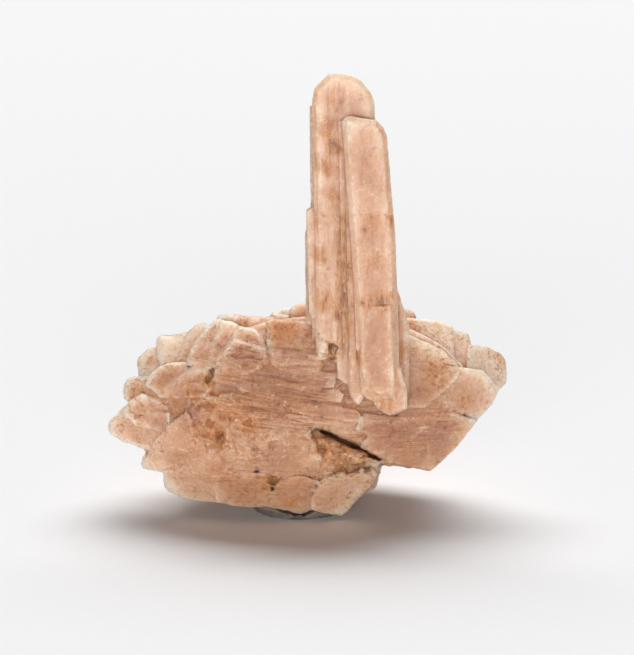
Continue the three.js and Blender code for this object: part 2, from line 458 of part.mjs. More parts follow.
function hollows() {
  return [
    cut([[-0.2, 9.25], [1.9, 8.85], [4.0, 7.85], [6.1, 6.9], [7.6, 5.9], [7.3, 5.5], [6.2, 6.15], [4.4, 7.1], [2.6, 8.05],
      [0.9, 8.75]], { from: -14, to: -4.5, narrow: 0.1 }),
    // The floor of the cleft leans back from the lobe's own face.
    recess([[0.1, 8.9], [1.0, 7.0], [2.3, 4.8], [3.7, 4.3], [6.6, 4.9], [7.3, 5.0], [6.6, 6.3], [4.0, 7.6], [1.9, 8.6]],
      { proud: -0.55, turn: 6, lean: 26 }),
    cut([[7.2, 5.5], [9.4, 5.0], [11.2, 4.9], [12.3, 4.6], [14.0, 0.0], [8.0, -1.0], [6.95, 3.3], [7.12, 4.15]],
      { from: -14, to: 12, narrow: 0 }),
    cut([[14.0, 0.0], [6.0, -3.0], [3.5, -0.1], [5.3, 1.65], [6.95, 3.3]],
      { from: -14, to: 12, narrow: 0 }),
    cut([[1.9, 17.6], [2.6, 17.6], [3.3, 17.1], [2.8, 16.6], [2.3, 15.6], [2.1, 15.7]], { from: -13, to: -9.5, narrow: 0.1 }),
    pit([-8.7, 7.9], { wide: 0.7, high: 1.0, deep: 1.6, out: 0.2 }),
    pit([-10.3, 11.2], { wide: 1.6, high: 0.7, deep: 0.9, out: 0.2, turn: 18 }),
    pit([-8.3, 9.9], { wide: 1.2, high: 0.5, deep: 0.9, out: 0.1, turn: 10 }),
    pit([-6.0, 9.5], { wide: 0.8, high: 0.4, deep: 0.9, out: 0.1, turn: -20 }),
    pit([-3.7, 3.7], { wide: 0.8, high: 0.45, deep: 1.2, out: 0.6, turn: -12 }),
    pit([-1.0, 5.2], { wide: 0.4, high: 0.3, deep: 0.7, out: 0.1 }),
    pit([-10.0, 13.8], { wide: 0.4, high: 0.8, deep: 0.9, out: 0.4 }),
  ];
}

// The largest of a solid's separate bodies: chips that a cut has freed are left out.
function largestBody(solid) {
  return solid.decompose().sort((a, b) => b.volume() - a.volume())[0];
}

function specimenSolid() {
  const grown = [
    ...heart(),
    ...hiddenSide(),
    ...rimCrystals(),
    ...shingles(),
    ...brokenMiddle(),
    ...lowerLobe(),
    ...rightLobe(),
    ...uprightGroup(),
  ];
  return largestBody(wasm.Manifold.difference([wasm.Manifold.union(grown), ...hollows()]));
}

// The pad: a ball of putty pressed flat, with the specimen's underside pressed into it.
function padSolid(specimen) {
  const { x, y, radius, height, foot, gap } = PAD;
  const SIDE_POINTS = 5;
  const profile = [new THREE.Vector2(0, 0), new THREE.Vector2(foot, 0)];
  for (let i = 1; i <= SIDE_POINTS; i++) {
    const angle = radians(-60 + (135 * i) / SIDE_POINTS);
    profile.push(new THREE.Vector2(foot + (radius - foot) * Math.cos(angle), (height / 2) * (1 + Math.sin(angle))));
  }
  profile.push(new THREE.Vector2(0, height));
  const pressed = new THREE.LatheGeometry(profile, 22);
  pressed.rotateX(Math.PI / 2);
  pressed.translate(x, y, 0);
  const sunk = specimen.translate([0, 0, -gap]);
  return largestBody(solidOf(pressed).subtract(sunk).subtract(specimen));
}

function meshOf(name, solid, material) {
  const { vertProperties, triVerts } = solid.getMesh();
  const geometry = new THREE.BufferGeometry();
  geometry.setAttribute("position", new THREE.BufferAttribute(vertProperties, 3));
  geometry.setIndex(new THREE.BufferAttribute(triVerts, 1));
  geometry.computeVertexNormals();
  const mesh = new THREE.Mesh(geometry, material);
  mesh.name = name;
  return mesh;
}

const palePink = new THREE.MeshStandardMaterial({ color: 0xcf9f82, roughness: 0.35, metalness: 0 });
const greyPutty = new THREE.MeshStandardMaterial({ color: 0x6b6058, roughness: 0.6, metalness: 0 });

const specimen = specimenSolid();
const model = new THREE.Group();
model.add(meshOf("schizolite_crystals", specimen, palePink));
model.add(meshOf("putty_pad", padSolid(specimen), greyPutty));
model.position.set(PLACE.x, PLACE.y, 0);

export default model;
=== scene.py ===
# %% [markdown]
# # A schizolite specimen, dressed for the camera
#
# Schizolite is a pale pink manganese silicate. This specimen is a sheaf of flat crystals that have grown
# together, with a group of upright prisms rising from its front, and it stands on a lump of grey putty.
# The solids that come with the part give the sizes and the large facets. This lesson adds what they leave
# out: the fine grooves along each crystal, the chipped steps, the iron stains, and a body that light soaks
# into.

# %% Load the solids and remember their box
import math

import bpy
import bmesh
import numpy as np
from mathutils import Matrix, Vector
from mathutils.bvhtree import BVHTree
from mathutils.kdtree import KDTree


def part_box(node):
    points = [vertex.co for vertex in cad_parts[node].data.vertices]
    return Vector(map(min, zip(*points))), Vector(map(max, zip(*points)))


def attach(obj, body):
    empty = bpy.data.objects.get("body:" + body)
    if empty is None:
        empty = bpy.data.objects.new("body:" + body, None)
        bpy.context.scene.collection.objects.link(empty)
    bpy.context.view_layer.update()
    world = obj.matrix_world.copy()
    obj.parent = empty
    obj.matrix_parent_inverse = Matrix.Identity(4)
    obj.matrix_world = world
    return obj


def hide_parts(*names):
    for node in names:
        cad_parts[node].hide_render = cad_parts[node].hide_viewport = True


MM = 0.001
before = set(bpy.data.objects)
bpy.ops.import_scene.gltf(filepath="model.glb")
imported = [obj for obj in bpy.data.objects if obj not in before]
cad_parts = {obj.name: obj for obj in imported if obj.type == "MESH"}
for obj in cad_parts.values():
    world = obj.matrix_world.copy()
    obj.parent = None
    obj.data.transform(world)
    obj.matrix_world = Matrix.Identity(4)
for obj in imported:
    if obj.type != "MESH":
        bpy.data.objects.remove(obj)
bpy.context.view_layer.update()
print("solids:", sorted(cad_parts))

# %% [markdown]
# ## The camera
#
# The specimen was photographed from the front and fifteen degrees above, with a long lens that keeps the
# prisms upright. A camera far away with a narrow angle gives the same calm perspective. Its place is worked
# out from the tilt, the distance and the height of the point it looks at, so that each can be changed on
# its own.

# %% Set the camera
TILT = math.radians(15)
DISTANCE = 400 * MM
TARGET = Vector((0.9 * MM, -3.87 * MM, 0.0))
TARGET_UP = 19.05 * MM
SEEN_HEIGHT = 65.5 * MM
SENSOR = 36.0


def put_in_scene(name, data):
    thing = bpy.data.objects.new(name, data)
    bpy.context.scene.collection.objects.link(thing)
    return thing


sight = Vector((0, math.cos(TILT), -math.sin(TILT)))
picture_up = Vector((0, math.sin(TILT), math.cos(TILT)))
camera_data = bpy.data.cameras.new("long lens")
camera_data.sensor_width = SENSOR
camera_data.lens = SENSOR * DISTANCE / SEEN_HEIGHT
camera = put_in_scene("camera", camera_data)
camera.location = TARGET + picture_up * TARGET_UP - sight * DISTANCE
camera.rotation_euler = sight.to_track_quat("-Z", "Y").to_euler()
bpy.context.scene.camera = camera
print("lens:", round(camera_data.lens, 1), "mm at", round(DISTANCE / MM), "mm")

# %% [markdown]
# ## Helpers for node trees
#
# A node tree reads best when each node is one line. The first helper adds a node, sets its values and plugs
# in its links. The others are steps that come back again and again, in materials and in Geometry Nodes:
# arithmetic, a mix, a soft step, and a place that is stretched along one direction.

# %% Helpers that add and wire nodes


def add(tree, kind, inputs=None, **settings):
    node = tree.nodes.new(kind)
    for name, value in settings.items():
        setattr(node, name, value)
    for socket, value in (inputs or {}).items():
        if isinstance(value, bpy.types.NodeSocket):
            tree.links.new(value, node.inputs[socket])
        else:
            node.inputs[socket].default_value = value
    return node


def math_node(tree, operation, *values, clamp=False):
    """Works through the values from left to right, with one Math node for each step."""
    result = values[0]
    for value in values[1:]:
        inputs = {0: result, 1: value}
        result = add(tree, "ShaderNodeMath", inputs, operation=operation, use_clamp=clamp).outputs[0]
    return result


def plus(tree, *values, clamp=False):
    return math_node(tree, "ADD", *values, clamp=clamp)


def minus(tree, *values):
    return math_node(tree, "SUBTRACT", *values)


def times(tree, *values):
    return math_node(tree, "MULTIPLY", *values)


def largest(tree, *values):
    return math_node(tree, "MAXIMUM", *values)


def signed(tree, value, amount=2.0):
    """A noise runs from 0 to 1. This spreads it evenly to both sides of zero."""
    return times(tree, minus(tree, value, 0.5), amount)


def mix_colour(tree, factor, a, b, blend="MIX"):
    """The Mix node has sockets of the same names for each kind of data, so these are found by number."""
    node = add(tree, "ShaderNodeMix", data_type="RGBA", blend_type=blend, clamp_factor=True)
    for socket, value in ((0, factor), (6, a), (7, b)):
        if isinstance(value, bpy.types.NodeSocket):
            tree.links.new(value, node.inputs[socket])
        else:
            node.inputs[socket].default_value = value
    return node.outputs[2]


def mix_value(tree, factor, a, b):
    return add(tree, "ShaderNodeMix", {"Factor": factor, "A": a, "B": b}, data_type="FLOAT").outputs[0]


def band(tree, value, low, high, to_low=0.0, to_high=1.0):
    """A soft step: to_low where the value is at low, and to_high where it is at high."""
    inputs = {0: value, 1: low, 2: high, 3: to_low, 4: to_high}
    return add(tree, "ShaderNodeMapRange", inputs, interpolation_type="SMOOTHSTEP").outputs[0]


def stretched(tree, place, per_mm, turn=(0, 0, 0)):
    """A place, turned and scaled, so that a noise has so many features per millimetre along each axis."""
    inputs = {"Vector": place, "Rotation": turn}
    turned = add(tree, "ShaderNodeVectorRotate", inputs, rotation_type="EULER_XYZ").outputs[0]
    inputs = {0: turned, 1: tuple(s / MM for s in per_mm)}
    return add(tree, "ShaderNodeVectorMath", inputs, operation="MULTIPLY").outputs[0]


# %% [markdown]
# ## A fine, even mesh for the crystals
#
# The solid has few, large facets. Grooves and chips need many small faces, and they should be even, because
# long slivers shade badly. Blender's Remesh modifier in its Sharp mode lays a fine grid of faces over the
# solid and keeps its edges crisp, which suits crystals better than the Voxel mode, which rounds them.

# %% Remesh the specimen
REMESH_DEPTH = 8
REMESH_SCALE = 0.66
REMESH_THRESHOLD = 0.5
JOIN_DISTANCE = 1e-7


def joined_faces(mesh):
    """The mesh opened for editing, with the points that lie in one place joined."""
    work = bmesh.new()
    work.from_mesh(mesh)
    bmesh.ops.remove_doubles(work, verts=work.verts, dist=JOIN_DISTANCE)
    return work


def merged_copy(node, name):
    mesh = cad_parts[node].data.copy()
    mesh.name = name
    work = joined_faces(mesh)
    work.to_mesh(mesh)
    work.free()
    mesh.materials.clear()
    return put_in_scene(name, mesh)


def bake_modifiers(piece):
    """Turns what the modifiers show into the piece's own plain mesh."""
    shown = piece.evaluated_get(bpy.context.evaluated_depsgraph_get())
    mesh = bpy.data.meshes.new_from_object(shown)
    piece.modifiers.clear()
    old = piece.data
    piece.data = mesh
    bpy.data.meshes.remove(old)
    mesh.name = piece.name


def vectors_of(mesh, field):
    flat = np.empty(len(mesh.vertices) * 3)
    mesh.vertices.foreach_get(field, flat)
    return flat.reshape(-1, 3)


def points_of(mesh):
    return vectors_of(mesh, "co")


specimen = merged_copy("schizolite_crystals", "schizolite_specimen")
grid = specimen.modifiers.new("even grid", "REMESH")
grid.mode = "SHARP"
grid.octree_depth = REMESH_DEPTH
grid.scale = REMESH_SCALE
grid.threshold = REMESH_THRESHOLD
bake_modifiers(specimen)
print("crystal mesh:", len(specimen.data.vertices), "points,", len(specimen.data.polygons), "faces")

# %% [markdown]
# ## Where each kind of surface is
#
# The upright prisms are grooved from top to bottom. The broken middle of the sheaf is grooved across,
# dipping to the right, and so are the right-hand lobe and the middle of the back, more faintly. The flat
# crystals at the rim are nearly smooth. Each point of the mesh gets a number from 0 to 1 for each of these,
# kept as a named attribute that Geometry Nodes and materials can both read.

# %% Store a number at every point


def store(mesh, name, values):
    attribute = mesh.attributes.get(name) or mesh.attributes.new(name, "FLOAT", "POINT")
    attribute.data.foreach_set("value", np.clip(values, 0, 1).astype(np.float32))


def read_numbers(mesh, name):
    values = np.empty(len(mesh.vertices), dtype=np.float32)
    mesh.attributes[name].data.foreach_get("value", values)
    return values.astype(float)


def smooth(value, low, high):
    t = np.clip((value - low) / (high - low), 0, 1)
    return t * t * (3 - 2 * t)


def picture_place(points):
    """How far across and how far up a point is seen from the front, in millimetres."""
    relative = points - np.array(TARGET)
    return points[:, 0] / MM, relative @ np.array(picture_up) / MM


def from_centre(x, h, oval):
    """How far out in an oval a place is: 0 at its centre, and 1 on its outline."""
    return np.hypot((x - oval["x"]) / oval["half_width"], (h - oval["h"]) / oval["half_height"])


# %% Mark the upright group
UPRIGHT_FRONT = -9.2
UPRIGHT_LEFT, UPRIGHT_RIGHT = 1.8, 10.6
UPRIGHT_FOOT = 10.6
SHEAF_TOP = 20.6
GROOVED_TO = 4.4
GROOVED_RIGHT, GROOVED_BACK = 0.15, 0.6
BACK_FROM = -6.0


def mark_upright(mesh):
    x, y, z = (points_of(mesh) / MM).T
    in_front = smooth(-y, -UPRIGHT_FRONT, -UPRIGHT_FRONT + 0.5)
    in_front *= smooth(x, UPRIGHT_LEFT - 0.4, UPRIGHT_LEFT + 0.4)
    in_front *= smooth(-x, -UPRIGHT_RIGHT, -UPRIGHT_RIGHT + 0.4)
    in_front *= smooth(z, UPRIGHT_FOOT - 0.3, UPRIGHT_FOOT + 0.3)
    upright = np.maximum(smooth(z, SHEAF_TOP - 0.4, SHEAF_TOP + 0.8), in_front)
    to_the_left = 1 - smooth(x, GROOVED_TO - 0.8, GROOVED_TO + 0.8)
    front_grooves = GROOVED_RIGHT + (1 - GROOVED_RIGHT) * to_the_left
    store(mesh, "upright", upright)
    store(mesh, "grooved", upright * np.where(y < BACK_FROM, front_grooves, GROOVED_BACK))
    print("upright share:", round(float(upright.mean()), 3))
    return upright


upright_share = mark_upright(specimen.data)

# %% Mark the broken middle and the rim
MIDDLE = {"x": -1.2, "h": 12.9, "half_width": 11.0, "half_height": 5.6}
MIDDLE_SLANT = 0.12
LOBE = {"x": 10.4, "h": 9.4, "half_width": 6.4, "half_height": 3.6}
BACK = {"x": 0.0, "h": 10.0, "half_width": 15.0, "half_height": 8.0}
RIM = {"x": -0.2, "h": 10.2, "half_width": 20.2, "half_height": 11.4}
FAINTER = 0.7


def mark_middle_and_rim(mesh, upright):
    points = points_of(mesh)
    x, y, z = (points / MM).T
    across, up = picture_place(points)
    slanted = up + MIDDLE_SLANT * (across - MIDDLE["x"])
    front = 1 - smooth(from_centre(across, slanted, MIDDLE) ** 2, 0.45, 1.1)
    lobe = FAINTER * (1 - smooth(from_centre(across, up, LOBE), 0.5, 1.1))
    back = FAINTER * (1 - smooth(from_centre(x, z, BACK), 0.5, 1.0))
    middle = np.maximum(front, lobe) * smooth(-y, 3.5, 6.0)
    middle = np.maximum(middle, back * smooth(y, 3.0, 6.0)) * (1 - upright)
    store(mesh, "middle", middle)
    store(mesh, "rim", smooth(from_centre(x, z, RIM), 0.55, 1.0) * (1 - upright))
    print("middle share:", round(float(middle.mean()), 3))


mark_middle_and_rim(specimen.data, upright_share)

# %% [markdown]
# ## One crystal, one tone
#
# Each crystal of the sheaf lets light through a little differently, and its outer edges catch the light while
# the seams between crystals are dim. The solid knows all of this. Its polygons that lie nearly in one plane
# belong to one crystal face, its convex edges are outer edges and its concave ones are seams. The points of
# the fine mesh take over the tone of the nearest face, and how near they are to an edge and to a seam.

# %% Find the crystal faces, the outer edges and the seams of the solid
FLAT_ANGLE = math.radians(14)
EDGE_ANGLE = math.radians(20)
EDGE_REACH = 1.6
EDGE_STEP = 0.12
TONE_SEED = 5


def face_tones(work):
    """A random tone for each group of faces that lie nearly in one plane."""
    random = np.random.default_rng(TONE_SEED)
    tones = {}
    for first in work.faces:
        if first.index in tones:
            continue
        tone = random.uniform()
        tones[first.index] = tone
        waiting = [first]
        while waiting:
            face = waiting.pop()
            for edge in face.edges:
                if edge.is_manifold and edge.calc_face_angle() < FLAT_ANGLE:
                    for other in edge.link_faces:
                        if other.index not in tones:
                            tones[other.index] = tone
                            waiting.append(other)
    return tones


def points_along(edges):
    points = []
    for edge in edges:
        a, b = (vert.co for vert in edge.verts)
        steps = max(1, round((b - a).length / (EDGE_STEP * MM)))
        points.extend(a.lerp(b, i / steps) for i in range(steps + 1))
    tree = KDTree(len(points))
    for i, point in enumerate(points):
        tree.insert(point, i)
    tree.balance()
    return tree


def nearness(tree, points):
    """1 on an edge, falling to 0 at the reach."""
    return 1 - np.array([tree.find(p)[2] for p in points]) / MM / EDGE_REACH


# %% Take them over to the fine mesh


def take_over_crystals(mesh, node):
    work = joined_faces(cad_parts[node].data)
    work.faces.index_update()
    tones = face_tones(work)
    nearest = BVHTree.FromBMesh(work)
    clear = [e for e in work.edges if e.is_manifold and e.calc_face_angle() > EDGE_ANGLE]
    points = [Vector(p) for p in points_of(mesh).tolist()]
    store(mesh, "tone", np.array([tones[nearest.find_nearest(p)[2]] for p in points]))
    store(mesh, "edge", nearness(points_along(e for e in clear if e.is_convex), points))
    store(mesh, "seam", nearness(points_along(e for e in clear if not e.is_convex), points))
    print("crystal faces:", len(set(tones.values())))
    work.free()


take_over_crystals(specimen.data, "schizolite_crystals")

# %% [markdown]
# ## Worn steps and healed gaps
#
# The crystals in the middle of the sheaf have grown into one another, so the steps between them are worn and
# filled. Each point is moved part of the way to the mean of its neighbours, a few times over, and further
# where the stone is more worn. The crystals at the rim and the upright prisms stay crisp. In a few places the
# solid leaves a narrow gap where the real crystals touch. There the same averaging runs for many more rounds,
# and the gap heals.

# %% Move points towards their neighbours


def neighbour_mean(mesh, values, rounds, amount=0.5):
    """Each point's value, moved towards the mean of its neighbours' values."""
    pairs = np.empty(len(mesh.edges) * 2, dtype=np.int64)
    mesh.edges.foreach_get("vertices", pairs)
    a, b = pairs.reshape(-1, 2).T
    count = np.bincount(a, minlength=len(values)) + np.bincount(b, minlength=len(values))
    for _ in range(rounds):
        total = np.bincount(a, values[b], len(values)) + np.bincount(b, values[a], len(values))
        values = (1 - amount) * values + amount * total / np.maximum(count, 1)
    return values


def mean_points(mesh, points, rounds, amount=0.5):
    """The same for places, one axis after the other."""
    return np.stack([neighbour_mean(mesh, points[:, k], rounds, amount) for k in range(3)], axis=1)


def seen_patches(mesh, patches, core):
    """The strength of round patches: each is a place seen from the front, a radius and an amount."""
    points = points_of(mesh)
    across, up = picture_place(points)
    strength = np.zeros(len(points))
    for x, h, radius, amount in patches:
        near = amount * (1 - smooth(np.hypot(across - x, up - h), core * radius, radius))
        strength = np.maximum(strength, near * (points[:, 1] < 0))
    return strength


# %% Wear the steps down and heal the gaps
WEAR_ROUNDS = 6
WEAR_MOST = 0.6
WEAR_LEAST = 0.06
WORN = {"x": -0.4, "h": 8.2, "half_width": 13.0, "half_height": 9.4}
HEAL_ROUNDS = 34
HEAL_CORE = 0.4
HEALED = [
    (13.2, 10.8, 1.8, 1.0), (15.0, 10.3, 1.5, 1.0), (-15.0, 6.8, 1.5, 1.0), (-13.8, 6.9, 1.6, 0.9),
    (-7.6, 5.2, 1.8, 0.8), (-4.9, 4.8, 1.8, 1.0), (1.4, 10.0, 1.0, 1.0), (-1.6, 4.8, 1.8, 0.7),
    (1.6, 4.4, 1.8, 0.7), (-9.4, 7.4, 1.6, 0.6), (-13.4, 18.2, 1.2, 0.8),
]


def wear(mesh):
    points = points_of(mesh)
    worn_place = 1 - smooth(from_centre(*picture_place(points), WORN) ** 2, 0.5, 1.1)
    amount = WEAR_LEAST + (WEAR_MOST - WEAR_LEAST) * worn_place * (1 - read_numbers(mesh, "upright"))
    worn = mean_points(mesh, points, WEAR_ROUNDS, amount)
    worn = mean_points(mesh, worn, HEAL_ROUNDS, seen_patches(mesh, HEALED, HEAL_CORE))
    mesh.vertices.foreach_set("co", worn.ravel())
    mesh.update()
    print("worn by up to", round(float(np.linalg.norm(worn - points, axis=1).max()) / MM, 2), "mm")


wear(specimen.data)

# %% [markdown]
# ## Growth lines, by Geometry Nodes
#
# A crystal face is covered in straight grooves, the edges of thin layers. Noise that is stretched along one
# direction gives exactly that: it hardly changes along the crystal and changes quickly across it. The tree
# moves each point along its normal by upright grooves, grooves across the middle and a faint unevenness.
# The cells of a Voronoi pattern add the small steps and chips of a broken surface. A bump in the material
# would be lighter, but the grooves must also show in the outline.

# %% Name the growth lines and their depths
GROWTH_DEPTHS = (
    ("Upright Depth", 0.08),
    ("Middle Depth", 0.2),
    ("Chip Depth", 0.22),
    ("Unevenness", 0.1),
    ("Seed", 3.0),
)
DIP = (0, math.radians(-8), 0)
UP_STEPS, ACROSS_STEPS = 0.6, 0.7
CRUMBS = 1.6
UPRIGHT_EVEN = 0.8

# %% Build the growth lines tree


def growth_lines_tree():
    tree = bpy.data.node_groups.new("growth lines", "GeometryNodeTree")
    tree.interface.new_socket("Geometry", in_out="INPUT", socket_type="NodeSocketGeometry")
    for name, value in GROWTH_DEPTHS:
        socket = tree.interface.new_socket(name, in_out="INPUT", socket_type="NodeSocketFloat")
        socket.default_value = value
    tree.interface.new_socket("Geometry", in_out="OUTPUT", socket_type="NodeSocketGeometry")
    start = add(tree, "NodeGroupInput").outputs
    end = add(tree, "NodeGroupOutput")
    position = add(tree, "GeometryNodeInputPosition").outputs[0]
    normal = add(tree, "GeometryNodeInputNormal").outputs[0]

    def named(name):
        return add(tree, "GeometryNodeInputNamedAttribute", {"Name": name}, data_type="FLOAT").outputs[0]

    def noise(per_mm, detail, rough, turn=(0, 0, 0)):
        inputs = {"Vector": stretched(tree, position, per_mm, turn), "W": start["Seed"], "Scale": 1.0}
        inputs.update({"Detail": detail, "Roughness": rough})
        return signed(tree, add(tree, "ShaderNodeTexNoise", inputs, noise_dimensions="4D").outputs[0])

    def cells(per_mm, turn=(0, 0, 0)):
        inputs = {"Vector": stretched(tree, position, per_mm, turn), "W": start["Seed"], "Scale": 1.0}
        colour = add(tree, "ShaderNodeTexVoronoi", inputs, voronoi_dimensions="4D").outputs["Color"]
        return signed(tree, add(tree, "ShaderNodeSeparateXYZ", {0: colour}).outputs[0])

    upright, grooved, middle, rough = (named(n) for n in ("upright", "grooved", "middle", "rough"))
    plain = minus(tree, 1.0, plus(tree, upright, middle, clamp=True))
    even = minus(tree, 1.0, times(tree, upright, UPRIGHT_EVEN))
    up_depth, across_depth, chip_depth = start["Upright Depth"], start["Middle Depth"], start["Chip Depth"]
    total = plus(
        tree,
        times(tree, noise((1.1, 1.1, 0.03), 2.0, 0.5), grooved, up_depth),
        times(tree, cells((0.9, 0.9, 0.045)), grooved, up_depth, UP_STEPS),
        times(tree, noise((0.11, 0.4, 2.6), 3.0, 0.62, DIP), middle, across_depth),
        times(tree, cells((0.2, 0.5, 1.5), DIP), middle, across_depth, ACROSS_STEPS),
        times(tree, cells((0.9, 0.9, 1.2)), plain, rough, chip_depth),
        times(tree, noise((1.5, 1.5, 1.5), 3.0, 0.65), CRUMBS, rough, chip_depth),
        times(tree, noise((0.45, 0.45, 0.6), 2.0, 0.5), even, start["Unevenness"]),
    )
    inputs = {0: normal, "Scale": times(tree, total, MM)}
    offset = add(tree, "ShaderNodeVectorMath", inputs, operation="SCALE").outputs[0]
    moved = add(tree, "GeometryNodeSetPosition", {"Geometry": start["Geometry"], "Offset": offset})
    tree.links.new(moved.outputs[0], end.inputs[0])
    return tree


# %% [markdown]
# Some places are broken and crumbly: the patch left of the middle, the floor of the cleft and the foot of the
# upright group. They are given like the healed gaps, and there the chips and crumbs are deeper.

# %% Mark the rough places and run the tree
ROUGH_PLACES = [
    (-8.4, 9.4, 4.6, 1.0), (-10.5, 12.6, 2.6, 1.0), (-5.2, 7.0, 3.0, 1.0), (-3.6, 3.4, 2.2, 1.0),
    (0.8, 8.4, 1.8, 1.6), (3.0, 6.8, 2.8, 2.4), (5.2, 6.2, 2.6, 2.2), (6.8, 5.6, 1.8, 1.8),
    (2.6, 16.6, 2.2, 1.6), (7.4, 11.6, 1.8, 0.8),
]
ROUGH_CORE = 0.55
ROUGH_ELSEWHERE, LESS_AT_RIM = 0.3, 0.14

little = ROUGH_ELSEWHERE - LESS_AT_RIM * read_numbers(specimen.data, "rim")
store(specimen.data, "rough", np.maximum(little, seen_patches(specimen.data, ROUGH_PLACES, ROUGH_CORE)))
growth = specimen.modifiers.new("growth lines", "NODES")
growth_tree = growth_lines_tree()
growth.node_group = growth_tree
bake_modifiers(specimen)
print("growth lines:", len(growth_tree.nodes), "nodes")

# %% [markdown]
# The moved points may not leave the box of the solids, so they are held to it. Faces that meet at a clear
# angle keep a sharp edge between them, and the rest are shaded smooth.

# %% Hold the mesh to the box and set its sharp edges
SHARP_ANGLE = math.radians(27)


def hold_to_box(mesh, node):
    low, high = (np.array(corner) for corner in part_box(node))
    points = np.clip(points_of(mesh), low, high)
    mesh.vertices.foreach_set("co", points.ravel())
    mesh.update()


hold_to_box(specimen.data, "schizolite_crystals")
specimen.data.shade_smooth()
specimen.data.set_sharp_from_angle(angle=SHARP_ANGLE)
print("grooved mesh:", sum(len(p.vertices) - 2 for p in specimen.data.polygons), "triangles")

# %% [markdown]
# ## How thick, how hidden and how sharp
#
# A translucent stone looks pale where it is thin and deeper where it is thick, and the colour paints this
# light:
# thin stone is painted pale. Hollows are painted brown, as stains and as painted shade, and edges that catch
# the light are painted paler, as painted highlights. All three can be measured on the mesh. Rays sent inwards
# from each point, in a fan, tell how much stone lies round it, so a point near an edge counts as thin as
# well. Rays sent outwards tell how enclosed it is. The height of a point above its neighbours tells whether
# it lies on an edge or in a groove.

# %% Send rays into the stone and out of it
THICK = 7.0
HOLLOW_REACH = 2.4
INWARD_RAYS, OUTWARD_RAYS = 7, 9
INWARD_LEAN, OUTWARD_LEAN = 1.1, 1.05
RAY_GAP = 0.06


def even_directions(count):
    """Directions spread evenly over a ball, on a spiral from its top to its bottom."""
    turn = math.pi * (3 - math.sqrt(5))
    directions = []
    for i in range(count):
        z = 1 - 2 * (i + 0.5) / count
        side = math.sqrt(1 - z * z)
        directions.append(Vector((side * math.cos(turn * i), side * math.sin(turn * i), z)))
    return directions


def ray_tree(mesh):
    points = [tuple(p) for p in points_of(mesh).tolist()]
    return BVHTree.FromPolygons(points, [tuple(p.vertices) for p in mesh.polygons])


def blocked(tree, start, directions, reach):
    """How soon a fan of rays is stopped: 0 when none is, and 1 when all stop at once."""
    total = 0.0
    for direction in directions:
        distance = tree.ray_cast(start, direction, reach * MM)[3]
        if distance is not None:
            total += 1 - distance / MM / reach
    return total / len(directions)


def measure_light(mesh):
    points, normals = points_of(mesh), vectors_of(mesh, "normal")
    tree = ray_tree(mesh)
    inwards, outwards = even_directions(INWARD_RAYS), even_directions(OUTWARD_RAYS)
    thin, hollow = np.zeros(len(points)), np.zeros(len(points))
    for i, (point, normal) in enumerate(zip(points, normals)):
        way, gap = Vector(normal), normal * RAY_GAP * MM
        thin[i] = blocked(tree, Vector(point - gap), [d - way * INWARD_LEAN for d in inwards], THICK)
        out = [d + way * OUTWARD_LEAN for d in outwards]
        hollow[i] = blocked(tree, Vector(point + gap), out, HOLLOW_REACH)
    return thin, hollow


# %% Measure the stone and keep the numbers
THIN_ROUNDS, HOLLOW_ROUNDS = 10, 2
RIDGE_HEIGHTS = (0.03, 0.1)
GROOVE_DEPTHS = (0.02, 0.09)


def measure_edges(mesh):
    """How far each point stands out from the mean of its neighbours, in millimetres."""
    points = points_of(mesh)
    return ((points - mean_points(mesh, points, 1)) * vectors_of(mesh, "normal")).sum(axis=1) / MM


thin, hollow = measure_light(specimen.data)
height = measure_edges(specimen.data)
thin = neighbour_mean(specimen.data, thin, THIN_ROUNDS)
hollow = neighbour_mean(specimen.data, hollow, HOLLOW_ROUNDS)
store(specimen.data, "thin", thin)
store(specimen.data, "hollow", hollow)
store(specimen.data, "ridge", smooth(height, *RIDGE_HEIGHTS))
store(specimen.data, "groove", smooth(-height, *GROOVE_DEPTHS))
for label, values in (("thin:", thin), ("hollow:", hollow)):
    print(label, np.percentile(values, (10, 50, 90)).round(2))

# %% [markdown]
# ## Stains, tints and milky places
#
# Iron has stained this stone ochre and brown in places, its thick middle is a duller mauve, and some crystals
# are milky. Each patch is given by where it is seen from the front, its size and its strength. A ray finds
# the surface there, so the patch stays on the crystal it belongs to. The hidden side gets patches at random
# places, from a fixed seed.

